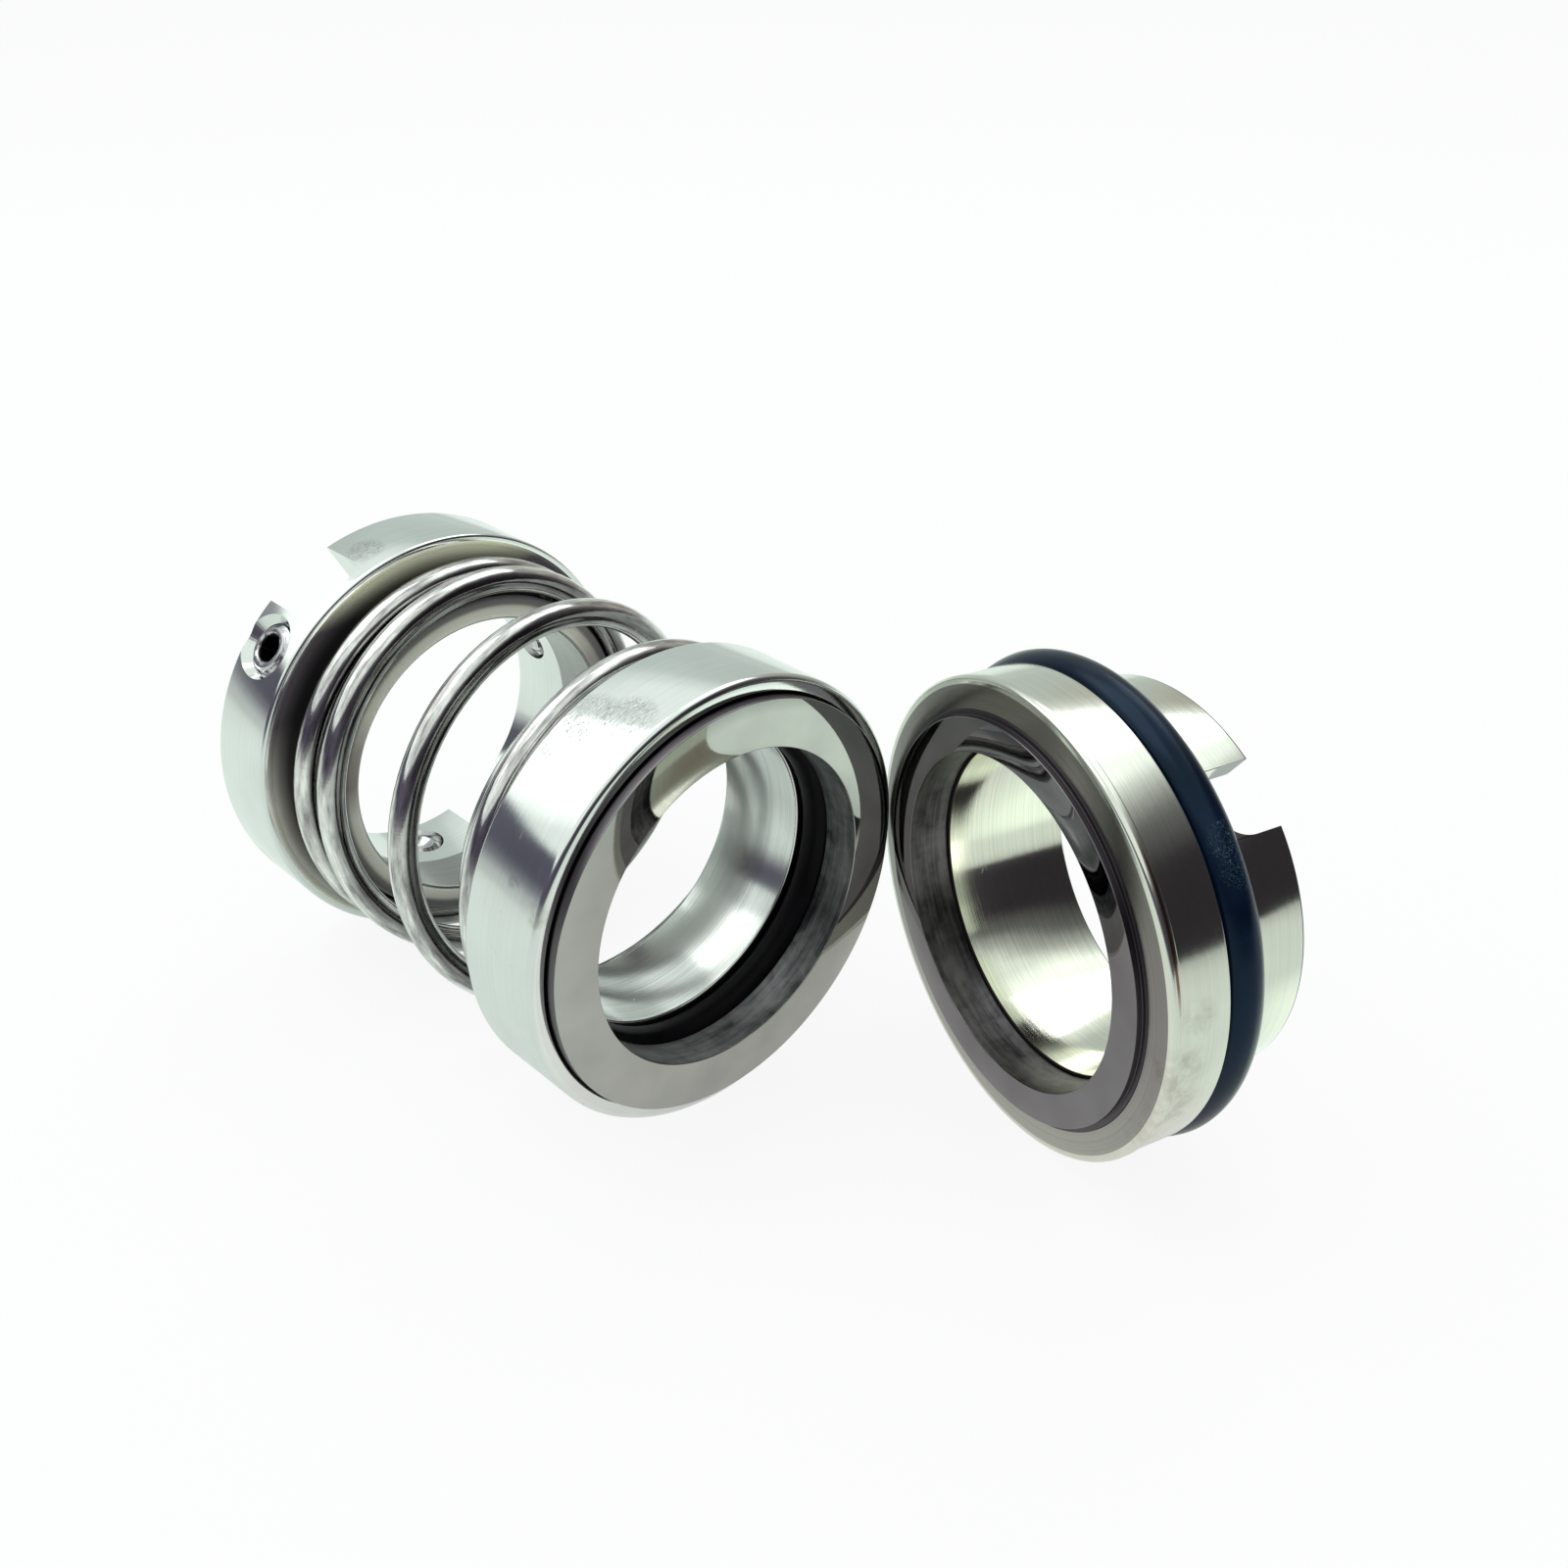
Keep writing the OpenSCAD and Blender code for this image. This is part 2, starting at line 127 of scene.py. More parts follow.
# Node helpers
class Tree:
    """A node tree with short calls for the nodes used here."""

    def __init__(self, nt):
        self.nt = nt
        nt.nodes.clear()

    def new(self, kind):
        return self.nt.nodes.new(kind)

    def link(self, a, b):
        self.nt.links.new(a, b)

    def put(self, socket, value):
        if isinstance(value, bpy.types.NodeSocket):
            self.link(value, socket)
        elif isinstance(value, (tuple, list)) and len(value) == 3 and len(socket.default_value) == 4:
            socket.default_value = (*value, 1)
        else:
            socket.default_value = value

    def math(self, op, a, b=0.0, clamp=False):
        n = self.new("ShaderNodeMath")
        n.operation = op
        n.use_clamp = clamp
        self.put(n.inputs[0], a)
        self.put(n.inputs[1], b)
        return n.outputs[0]

    def plus(self, a, b):
        return self.math("ADD", a, b)

    def minus(self, a, b):
        return self.math("SUBTRACT", a, b)

    def times(self, a, b, clamp=False):
        return self.math("MULTIPLY", a, b, clamp)

    def over(self, a, b, clamp=False):
        return self.math("DIVIDE", a, b, clamp)

    def vec(self, op, a, b=(0, 0, 0)):
        n = self.new("ShaderNodeVectorMath")
        n.operation = op
        self.put(n.inputs[0], a)
        if op != "LENGTH":
            self.put(n.inputs[1], b)
        return n.outputs["Value" if op in ("LENGTH", "DOT_PRODUCT") else "Vector"]

    def dot(self, a, b):
        return self.vec("DOT_PRODUCT", a, b)

    def distance(self, a, b):
        return self.vec("LENGTH", self.vec("SUBTRACT", a, b))

    def split(self, v):
        n = self.new("ShaderNodeSeparateXYZ")
        self.link(v, n.inputs[0])
        return n.outputs[0], n.outputs[1], n.outputs[2]

    def join(self, x, y, z):
        n = self.new("ShaderNodeCombineXYZ")
        for s, v in zip(n.inputs, (x, y, z)):
            self.put(s, v)
        return n.outputs[0]

    def scaled(self, *pairs):
        """A vector from three (number, factor) pairs."""
        return self.join(*(self.times(v, factor) for v, factor in pairs))

    def noise(self, v, scale=1.0, detail=2.0, rough=0.5, distort=0.0):
        n = self.new("ShaderNodeTexNoise")
        self.link(v, n.inputs["Vector"])
        n.inputs["Scale"].default_value = scale
        n.inputs["Detail"].default_value = detail
        n.inputs["Roughness"].default_value = rough
        n.inputs["Distortion"].default_value = distort
        return n.outputs["Fac"]

    def cells(self, v, scale):
        n = self.new("ShaderNodeTexVoronoi")
        self.link(v, n.inputs["Vector"])
        n.inputs["Scale"].default_value = scale
        return n.outputs["Distance"]

    def curve(self, v, stops, smooth=False):
        """Ramp of a number, straight or smooth between stops of (position, value or colour)."""
        n = self.new("ShaderNodeValToRGB")
        if smooth:
            n.color_ramp.interpolation = "EASE"
        e = n.color_ramp.elements
        while len(e) > 1:
            e.remove(e[-1])
        for i, (p, c) in enumerate(stops):
            el = e[0] if i == 0 else e.new(p)
            el.position = p
            el.color = (*c, 1) if isinstance(c, tuple) else (c, c, c, 1)
        self.put(n.inputs[0], v)
        return n.outputs[0]

    def mix(self, fac, a, b, clamp=True):
        n = self.new("ShaderNodeMix")
        n.data_type = "RGBA"
        n.clamp_factor = clamp
        self.put(n.inputs[0], fac)
        self.put(n.inputs[6], a)
        self.put(n.inputs[7], b)
        return n.outputs[2]

    def mix_shader(self, fac, a, b):
        n = self.new("ShaderNodeMixShader")
        for socket, output in zip(n.inputs, (fac, a, b)):
            self.link(output, socket)
        return n.outputs[0]

    def bump(self, height, strength, distance, under=None):
        n = self.new("ShaderNodeBump")
        n.inputs["Strength"].default_value = strength
        n.inputs["Distance"].default_value = distance
        self.link(height, n.inputs["Height"])
        if under is not None:
            self.link(under, n.inputs["Normal"])
        return n.outputs[0]

    def band(self, v, low, high, soft=0.12):
        """One between low and high, with soft edges."""
        up = self.over(self.minus(v, low - soft), soft, True)
        down = self.over(self.minus(high + soft, v), soft, True)
        return self.times(up, down)

    def coords(self, place):
        """The unit's own coordinates in millimetres, from the object's: across, up and along its axis."""
        x, y, z = self.split(self.new("ShaderNodeTexCoord").outputs["Object"])
        out = []
        for row in place.inverted()[:3]:
            a, b, c = (self.times(v, row[k] * 1000) for k, v in enumerate((x, y, z)))
            out.append(self.plus(self.plus(self.plus(a, b), c), row[3]))
        return out

    def turned(self, place):
        """(radius, station, angle in turns, position) on a turned piece.

        The angle runs up on both sides of +X, so that no pattern has a seam.
        """
        x, y, z = self.coords(place)
        r = self.vec("LENGTH", self.join(x, y, 0.0))
        a = self.math("ABSOLUTE", self.times(self.math("ARCTAN2", y, x), 1 / (2 * math.pi)))
        return r, z, a, self.join(x, y, z)


class Surface(Tree):
    """A material with one Principled shader."""

    def __init__(self, name):
        self.mat = bpy.data.materials.new(name)
        self.mat.use_nodes = True
        super().__init__(self.mat.node_tree)
        self.out = self.new("ShaderNodeOutputMaterial")
        self.bsdf = self.new("ShaderNodeBsdfPrincipled")
        self.link(self.bsdf.outputs[0], self.out.inputs[0])


def steel(name, place, tint=(0.80, 0.82, 0.80), shade=(0.60, 0.615, 0.60), rough=(0.06, 0.13),
          lines=0.5, streak=0.15, wave=0.06, seed=0.0, zones=(), scuffs=(), stains=(), sockets=(), slot=None):
    """Turned and polished stainless steel: fine rings round the axis, soft patches and a few specks.

    Zones are (low radius, high radius, low station, high station, colour ramps, roughness, metallic):
    walls with a finish of their own, coloured along their radius "r", their height "y" or both; on several
    of them that colour is painted shade and painted reflection. Scuffs are (angle in degrees, radius,
    station, size): patches of short fine scratches. Stains are the same with a depth and a colour behind:
    smudges. Sockets are the angles of the set screws, whose hexagons are painted near black inside,
    painted shade. A slot is (angle, half its width, low station): its cut walls are painted dark, painted
    shade. Lines, streak and wave set the depth of the fine rings, their darkness, and how uneven the polish is.
    """
    t = Surface(name)
    r, z, a, p = t.turned(place)
    fine = t.noise(t.scaled((r, 9.0), (z, 9.0), (a, 1.5)), 1.0, 4.0, 0.7)
    wide = t.noise(t.scaled((r, 1.3), (z, 1.3), (a, 5.0)), 1.0, 2.0, 0.5)
    patch = t.noise(t.vec("ADD", p, (seed, seed * 2, 7.0)), 0.09, 3.0, 0.55)
    scratch = t.noise(t.scaled((a, 30.0), (z, 0.5), (r, 0.5)), 3.0, 4.0, 0.6, 0.6)
    scratch = t.curve(scratch, [(0.0, 0.0), (0.66, 0.0), (0.74, 1.0)])
    speck = t.curve(t.cells(p, 0.55), [(0.0, 1.0), (0.045, 0.7), (0.075, 0.0), (1.0, 0.0)])
    speck = t.times(speck, t.curve(patch, [(0.0, 0.0), (0.52, 0.0), (0.62, 0.35), (1.0, 0.35)]))
    base = t.mix(t.curve(wide, [(0.3, 0.0), (0.7, 0.5)]), tint, tuple(0.93 * c for c in tint))
    base = t.mix(t.curve(patch, [(0.35, 0.0), (0.72, 0.30)]), base, shade)
    base = t.mix(t.curve(fine, [(0.46, 0.0), (0.66, streak)]), base, tuple(0.45 * c for c in tint))
    rg = t.curve(t.plus(t.times(patch, 0.6), t.times(fine, 0.4)), [(0.3, rough[0]), (0.75, rough[1])])
    metal = 1.0
    for r0, r1, z0, z1, ramps, finish, metallic in zones:
        inside = t.times(t.band(r, r0, r1, 0.05), t.band(z, z0, z1, 0.05))
        colour = (1.0, 1.0, 1.0)
        for measure, stops in ramps.items():
            along, start = (r, r0) if measure == "r" else (t.split(p)[1], -r1)
            colour = t.vec("MULTIPLY", colour, t.curve(t.over(t.minus(along, start), r1 - start), stops))
        dark = t.mix(0.4, colour, (0.0, 0.0, 0.0))
        base = t.mix(inside, base, t.mix(t.curve(fine, [(0.40, 0.0), (0.66, 0.5)]), colour, dark))
        rg = t.mix(inside, rg, t.plus(finish, t.times(fine, 0.10)))
        if metallic < 1:
            metal = t.times(metal, t.minus(1.0, t.times(inside, 1 - metallic)))
    rg = t.plus(rg, t.times(scratch, 0.10))
    rg = t.plus(rg, t.times(speck, 0.4))

    def near(degrees, rad, station, size, gain):
        """One at a place on the piece, and falling to zero at the size given."""
        g = math.radians(degrees)
        away = t.distance(p, (rad * math.cos(g), rad * math.sin(g), station))
        return t.times(t.curve(t.over(away, size), [(0.0, 1.0), (1.0, 0.0)]), gain, True)

    if scuffs:
        hair = t.noise(t.join(t.times(a, 55.0), t.times(z, 1.1), r), 2.2, 4.0, 0.7, 2.0)
        hair = t.curve(hair, [(0.0, 0.0), (0.49, 0.0), (0.53, 1.0), (0.57, 0.1), (1.0, 0.0)])
        for degrees, rad, station, size in scuffs:
            here = t.times(near(degrees, rad, station, size, 3.0), hair)
            base = t.mix(t.times(here, 0.9), base, (0.06, 0.06, 0.075))
            rg = t.plus(rg, t.times(here, 0.3))
    if stains:
        blot = t.noise(t.vec("ADD", p, (3.0, 9.0, seed)), 0.42, 3.0, 0.6, 0.3)
        blot = t.curve(blot, [(0.0, 0.0), (0.38, 0.0), (0.66, 1.0), (1.0, 1.0)])
        for degrees, rad, station, size, depth, colour in stains:
            here = t.times(near(degrees, rad, station, size, 2.0), blot)
            base = t.mix(t.times(here, depth), base, colour)
            rg = t.plus(rg, t.times(here, 0.25))
    # Painted shade: the cut walls of the slot are dark
    if slot:
        g, half, low_end = slot
        aside = t.math("ABSOLUTE", t.dot(p, (-math.sin(g), math.cos(g), 0.0)))
        ahead = t.math("GREATER_THAN", t.dot(p, (math.cos(g), math.sin(g), 0.0)), 0.0)
        wall = t.times(t.band(aside, half - 0.06, half + 0.03, 0.02), t.math("GREATER_THAN", z, low_end))
        base = t.mix(t.times(wall, ahead), base, (0.07, 0.065, 0.07))
    # Painted shade: the set screws' hexagon sockets are near black and rough inside
    for g in sockets:
        out = (math.cos(g), math.sin(g), 0.0)
        q = t.vec("SUBTRACT", p, (0.0, 0.0, SCREW_STATION))
        reach = t.dot(q, out)
        aside = t.distance(q, t.vec("MULTIPLY", t.join(reach, reach, reach), out))
        inside = t.times(t.curve(t.times(aside, 0.1), [(0.225, 1.0), (0.245, 0.0)]),
                         t.math("GREATER_THAN", reach, 27.0))
        base = t.mix(inside, base, (0.008, 0.007, 0.008))
        rg = t.mix(inside, rg, (0.6, 0.6, 0.6))
    base = t.mix(speck, base, (0.16, 0.13, 0.10))
    t.put(t.bsdf.inputs["Base Color"], base)
    t.put(t.bsdf.inputs["Metallic"], metal)
    t.put(t.bsdf.inputs["Roughness"], rg)
    rings = t.bump(wide, 0.10 * lines, 0.00006, t.bump(fine, 0.25 * lines, 0.00002))
    t.put(t.bsdf.inputs["Normal"], t.bump(patch, wave, 0.0004, rings))
    return t


def carbide(name, place, face_low, face_high, wall_low, wall_high, edge):
    """Sintered carbide: a lapped mirror on the running face, ground side walls and bore.
    The outer wall's colour fades to near black towards the holder's front, painted shade.
    """
    t = Surface(name)
    r, z, a, p = t.turned(place)
    face = t.curve(z, [(0.0, 1.0), (0.06, 1.0), (0.12, 0.0)])
    grind = t.noise(t.join(r, t.times(z, 2.6), t.times(a, 9.0)), 1.0, 4.0, 0.7)
    worn = t.noise(t.join(r, t.times(z, 0.30), t.times(a, 9.0)), 1.0, 3.0, 0.6)
    grain = t.noise(p, 6.0, 4.0, 0.6)
    cloud = t.noise(p, 0.12, 2.0, 0.5)
    lap = t.noise(t.join(t.times(r, 3.0), t.times(a, 20.0), z), 1.0, 3.0, 0.6)
    mirror = t.mix(t.curve(cloud, [(0.3, 0.0), (0.7, 1.0)]), face_low, face_high)
    speck = t.curve(t.cells(p, 0.8), [(0.0, 0.5), (0.03, 0.3), (0.05, 0.0), (1.0, 0.0)])
    mirror = t.mix(t.times(speck, t.curve(cloud, [(0.45, 0.0), (0.6, 1.0)])), mirror, (0.12, 0.11, 0.10))
    blot = t.noise(p, 0.35, 3.0, 0.6, 0.4)
    wear = t.plus(t.plus(t.times(worn, 0.45), t.times(grind, 0.30)), t.times(blot, 0.25))
    wall = t.mix(t.curve(wear, [(0.40, 0.0), (0.60, 1.0)]), wall_low, wall_high)
    outer = t.minus(1.0, t.band(r, 20.0, 27.0))
    # Painted shade: the outer wall keeps its edge colour near the face and turns near black towards the
    # holder's front, in the gap between ring and holder
    rim_into_shade = t.mix(t.curve(t.times(z, 0.5), [(0.58, 0.0), (0.76, 1.0)]), edge, (0.012, 0.011, 0.013))
    t.put(t.bsdf.inputs["Base Color"], t.mix(face, t.mix(outer, wall, rim_into_shade), mirror))
    t.bsdf.inputs["Metallic"].default_value = 1.0
    smooth = t.curve(lap, [(0.3, 0.02), (0.7, 0.045)])
    ground = t.curve(grind, [(0.3, 0.30), (0.7, 0.44)])
    t.put(t.bsdf.inputs["Roughness"], t.mix(face, ground, smooth))
    off_face = t.minus(1.0, face)
    marks = t.bump(t.times(grind, off_face), 0.4, 0.00005)
    t.put(t.bsdf.inputs["Normal"], t.bump(t.times(grain, off_face), 0.15, 0.00003, marks))
    return t


def rubber(name, place, colour, sheen, rough, level, gloss=(1, 1, 1), hairs=()):
    """Moulded rubber with a faint bloom, lint specks and a soft shine; hairs are (degrees, radius, station)."""
    t = Surface(name)
    _, _, _, p = t.turned(place)
    fine = t.noise(p, 3.5, 5.0, 0.65)
    cloud = t.noise(p, 0.16, 3.0, 0.6)
    dust = t.curve(t.cells(p, 1.1), [(0.0, 0.6), (0.03, 0.3), (0.05, 0.0)])
    base = t.mix(t.curve(cloud, [(0.35, 0.0), (0.7, 1.0)]), colour, sheen)
    base = t.mix(t.times(dust, t.curve(cloud, [(0.45, 0.0), (0.6, 0.3)])), base, (0.16, 0.20, 0.24))
    if hairs:
        thread = t.noise(p, 0.9, 2.0, 0.5, 2.5)
        thread = t.curve(thread, [(0.0, 0.0), (0.485, 0.0), (0.50, 1.0), (0.515, 0.0), (1.0, 0.0)])
        for degrees, rad, station in hairs:
            g = math.radians(degrees)
            away = t.distance(p, (rad * math.cos(g), rad * math.sin(g), station))
            here = t.curve(t.over(away, 3.0), [(0.0, 1.0), (0.7, 0.7), (1.0, 0.0)])
            base = t.mix(t.times(here, thread), base, (0.10, 0.17, 0.20))
    t.put(t.bsdf.inputs["Base Color"], base)
    t.bsdf.inputs["Specular IOR Level"].default_value = level
    t.bsdf.inputs["Specular Tint"].default_value = (*gloss, 1)
    bloom = t.plus(t.times(fine, 0.5), t.times(cloud, 0.5))
    t.put(t.bsdf.inputs["Roughness"], t.curve(bloom, [(0.3, rough[0]), (0.7, rough[1])]))
    t.put(t.bsdf.inputs["Normal"], t.bump(fine, 0.18, 0.00008))
    return t


def wire(name):
    """Bright drawn wire with painted shade: darker on its sides where the coils meet and partly on its inner
    side; the mesh's own UV map runs along it and round it.
    """
    t = Surface(name)
    uv = t.new("ShaderNodeUVMap")
    uv.uv_map = "along"
    u, v, _ = t.split(uv.outputs[0])
    streak = t.noise(t.join(t.times(u, 0.12), t.times(v, 9.0), 0.0), 1.0, 4.0, 0.65)
    cross = t.noise(t.join(t.times(u, 2.2), v, 3.0), 1.0, 3.0, 0.6)
    # Painted shade: darker on the wire's sides, where the coils meet, and partly on its inner side
    side = t.curve(v, [(0.0, 0.0), (0.13, 0.0), (0.20, 0.75), (0.28, 1.0), (0.36, 0.45), (0.5, 0.35),
                       (0.64, 0.45), (0.72, 1.0), (0.80, 0.75), (0.87, 0.0), (1.0, 0.0)])
    base = t.mix(t.curve(streak, [(0.35, 0.0), (0.65, 1.0)]), (0.30, 0.28, 0.29), (0.95, 0.94, 0.91))
    base = t.mix(t.times(side, 0.85), base, (0.06, 0.055, 0.06))
    base = t.mix(t.curve(cross, [(0.62, 0.0), (0.74, 0.5)]), base, (0.32, 0.27, 0.28))
    t.put(t.bsdf.inputs["Base Color"], base)
    t.bsdf.inputs["Metallic"].default_value = 1.0
    t.put(t.bsdf.inputs["Roughness"], t.curve(streak, [(0.3, 0.05), (0.7, 0.11)]))
    t.put(t.bsdf.inputs["Normal"], t.bump(cross, 0.10, 0.00004, t.bump(streak, 0.3, 0.00004)))
    return t


# Places of the set screws and of the seat's pin slot, and the colours of the pieces
SCREW_STATION = COLLAR_REAR - 5.1
SCREW_ANGLES = [math.radians(42 + 120 * i) for i in range(3)]
PIN_ANGLE = math.radians(127)
PIN_R = 4.7
WHITE = (1.0, 1.0, 1.0)
BROWN = (0.20, 0.13, 0.07)
SMUDGE = (0.25, 0.25, 0.27)
SEAT_TINT = (0.77, 0.775, 0.70)


def flat(colour):
    """The colour ramps of a zone of one colour."""
    return {"r": [(0.0, colour), (1.0, colour)]}


# Hollow front wall, hub and hub front of the collar, each coloured with painted shade and painted reflection
COLLAR_ZONES = [
    # Hollow front wall: painted shade, dark next to the coil and light at the rim, and painted reflection along
    # its height, light below, a dark band high up and bright at the top
    (26.6, 32.2, SHOULDER - 0.6, SHOULDER + 0.05,
     {"r": [(0.0, (0.05, 0.045, 0.05)), (0.35, (0.10, 0.09, 0.10)), (0.60, (0.40, 0.39, 0.40)),
            (0.82, (0.85, 0.85, 0.85)), (1.0, WHITE)],
      "y": [(0.0, (0.95, 0.93, 0.82)), (0.5, (0.85, 0.81, 0.72)), (0.70, (0.13, 0.11, 0.125)),
            (0.885, (0.13, 0.11, 0.125)), (0.95, (1.0, 1.0, 0.74)), (1.0, (1.0, 1.0, 0.80))]}, 0.5, 0.0),
    # Hub and bore inside the spring: a flat darker grey, painted shade
    (22.0, 27.0, 50.0, SHOULDER, {"r": [(0.0, (0.36, 0.36, 0.35)), (1.0, (0.33, 0.33, 0.32))]}, 0.16, 1.0),
    # Hub front: painted highlight, bright at its inner edge and dark towards the outer, crossed by a dark band
    # of painted reflection just above mid-height
    (23.0, 26.5, HUB_FRONT - 0.2, HUB_FRONT + 0.3,
     {"r": [(0.0, (0.95, 0.93, 0.84)), (0.40, (0.78, 0.76, 0.68)), (0.60, (0.22, 0.20, 0.20)),
            (1.0, (0.10, 0.09, 0.10))],
      "y": [(0.0, WHITE), (0.48, WHITE), (0.58, (0.42, 0.37, 0.40)), (0.68, (0.50, 0.46, 0.48)),
            (0.78, (0.95, 0.93, 0.93)), (1.0, WHITE)]}, 0.35, 0.2)]
# Recessed ring round the seat's nose, red-brown line on its lip, bore, step behind the carbide, tail's end; the
# ring carries painted reflection and the step painted shade
SEAT_ZONES = [
    # Ring round the nose: dark grey, lightest at the bottom and darkest above, painted reflection
    (28.9, 32.3, 0.9, 1.6,
     {"y": [(0.0, (0.44, 0.44, 0.40)), (0.5, (0.27, 0.255, 0.255)), (0.8, (0.25, 0.23, 0.22)),
            (1.0, (0.30, 0.275, 0.25))]}, 0.16, 1.0),
    (33.0, 33.5, 2.15, 2.5,
     {"y": [(0.0, SEAT_TINT), (0.60, SEAT_TINT), (0.66, (0.30, 0.17, 0.13)), (0.85, (0.34, 0.20, 0.15)),
            (0.90, SEAT_TINT), (1.0, SEAT_TINT)]}, 0.1, 1.0),
    (23.0, 23.4, 6.7, 25.9, flat((0.80, 0.80, 0.70)), 0.05, 1.0),
    # Step behind the carbide: near black, painted shade in the joint
    (22.9, 23.7, 6.2, 6.6, flat((0.04, 0.03, 0.03)), 0.5, 1.0),
    (27.6, 28.2, 26.0, 26.4, flat((0.10, 0.10, 0.10)), 0.3, 1.0)]
MATS = {
    "collar": steel("collar_steel", HEAD_PLACE, seed=3.0, zones=COLLAR_ZONES,
                    scuffs=[(78, COLLAR_R, 73.5, 3.5)]),
    "holder": steel("holder_steel", HEAD_PLACE, seed=11.0,
                    scuffs=[(60, HOLDER_R, 12.5, 4.0), (67, HOLDER_R, 12.0, 4.5), (71, HOLDER_R, 7.0, 4.5)],
                    stains=[(27.5, HOLDER_R, 7.9, 1.3, 0.7, SMUDGE), (24.0, HOLDER_R, 2.6, 2.0, 0.25, BROWN)]),
    "sleeve": steel("sleeve_steel", HEAD_PLACE, tint=(0.79, 0.81, 0.79), rough=(0.13, 0.24), lines=0.3,
                    streak=0.45, wave=0.0, seed=5.0),
    "seat": steel("seat_steel", SEAT_PLACE, tint=SEAT_TINT, shade=(0.58, 0.57, 0.50), rough=(0.08, 0.17),
                  lines=0.9, streak=0.2, seed=21.0, zones=SEAT_ZONES, slot=(PIN_ANGLE, PIN_R, 19.0),
                  stains=[(183.0, SEAT_BODY_R, 3.0, 5.0, 0.30, BROWN),
                          (194.0, SEAT_BODY_R, 4.0, 4.5, 0.30, BROWN),
                          (170.0, SEAT_BODY_R, 5.0, 3.5, 0.22, BROWN), (205.0, 32.0, 1.6, 3.0, 0.15, BROWN)]),
    "carbide_a": carbide("rotary_carbide", HEAD_PLACE, (0.375, 0.375, 0.36), (0.43, 0.435, 0.41),
                         (0.015, 0.015, 0.017), (0.17, 0.17, 0.175), (0.17, 0.15, 0.165)),
    # The seat ring's face colours are darker than the rotary ring's: painted shade, for the shaded floor its
    # face reflects
    "carbide_b": carbide("seat_carbide", SEAT_PLACE, (0.17, 0.16, 0.17), (0.21, 0.20, 0.21),
                         (0.012, 0.011, 0.014), (0.15, 0.14, 0.15), (0.08, 0.07, 0.08)),
    "rubber_a": rubber("packing_rubber", HEAD_PLACE, (0.0025, 0.002, 0.003), (0.005, 0.004, 0.006),
                       (0.35, 0.5), 0.08),
    "rubber_b": rubber("seat_rubber", SEAT_PLACE, (0.001, 0.004, 0.014), (0.003, 0.009, 0.027),
                       (0.17, 0.27), 0.26, (0.50, 0.74, 1.0),
                       hairs=[(136.3, 33.9, 13.4), (142.2, 33.9, 13.7), (197.0, 33.9, 14.8)]),
    "screw": steel("screw_steel", HEAD_PLACE, tint=(0.66, 0.64, 0.66), shade=(0.34, 0.31, 0.34),
                   rough=(0.10, 0.22), seed=31.0, sockets=SCREW_ANGLES),
    "wire": wire("spring_wire"),
}


# Mesh helpers
def add_object(name, data):
    obj = bpy.data.objects.new(name, data)
    bpy.context.scene.collection.objects.link(obj)
    return obj


def ring_faces(a, b, count):
    """Quads between two closed loops of vertices, given by their first indices."""
    return [(a + k, a + (k + 1) % count, b + (k + 1) % count, b + k) for k in range(count)]


def fillet(points, steps=6):
    """Closed outline from corners (radius, station, rounding): each corner becomes an arc."""
    out = []
    n = len(points)
    for i, (x, y, rad) in enumerate(points):
        p = np.array((x, y), float)
        if rad <= 0:
            out.append(tuple(p))
            continue
        a = np.array(points[i - 1][:2], float) - p
        b = np.array(points[(i + 1) % n][:2], float) - p
        la, lb = np.linalg.norm(a), np.linalg.norm(b)
        a, b = a / la, b / lb
        half = math.acos(max(-1, min(1, float(a @ b)))) / 2
        cut = min(rad / math.tan(half), la * 0.45, lb * 0.45)
        rad = cut * math.tan(half)
        centre = p + (a + b) / np.linalg.norm(a + b) * (rad / math.sin(half))
        s, e = p + a * cut - centre, p + b * cut - centre
        s0, e0 = math.atan2(s[1], s[0]), math.atan2(e[1], e[0])
        d = (e0 - s0 + math.pi) % (2 * math.pi) - math.pi
        for k in range(steps + 1):
            g = s0 + d * k / steps
            out.append((centre[0] + rad * math.cos(g), centre[1] + rad * math.sin(g)))
    return out


def lathe(name, outline):
    """A closed ring turned from an outline, in its unit's own frame and in millimetres."""
    pts = np.array(outline)
    ang = np.arange(SEGMENTS) * 2 * math.pi / SEGMENTS
    n = len(pts)
    verts = np.empty((SEGMENTS, n, 3))
    verts[:, :, 0] = pts[None, :, 0] * np.cos(ang)[:, None]
    verts[:, :, 1] = pts[None, :, 0] * np.sin(ang)[:, None]
    verts[:, :, 2] = pts[None, :, 1]
    faces = []
    for s in range(SEGMENTS):
        faces += ring_faces(s * n, (s + 1) % SEGMENTS * n, n)
    return solid(name, verts.reshape(-1, 3).tolist(), faces)


def outward(mesh):
    """Turns all faces outward."""
    bm = bmesh.new()
    bm.from_mesh(mesh)
    bmesh.ops.recalc_face_normals(bm, faces=bm.faces)
    bm.to_mesh(mesh)
    bm.free()


def crease(obj, degrees):
    """Smooth shading with sharp edges where faces meet at more than the angle."""
    bm = bmesh.new()
    bm.from_mesh(obj.data)
    limit = math.radians(degrees)
    for f in bm.faces:
        f.smooth = True
    for e in bm.edges:
        e.smooth = len(e.link_faces) != 2 or e.calc_face_angle(0.0) < limit
    bm.to_mesh(obj.data)
    bm.free()


def cut(obj, *cutters):
    """Takes the cutters' shapes out of obj and deletes them."""
    for c in cutters:
        m = obj.modifiers.new("cut", "BOOLEAN")
        m.operation = "DIFFERENCE"
        m.solver = "EXACT"
        m.object = c
    bpy.context.view_layer.update()
    mesh = bpy.data.meshes.new_from_object(obj.evaluated_get(bpy.context.evaluated_depsgraph_get()))
    obj.modifiers.clear()
    obj.data = mesh
    for c in cutters:
        bpy.data.objects.remove(c)


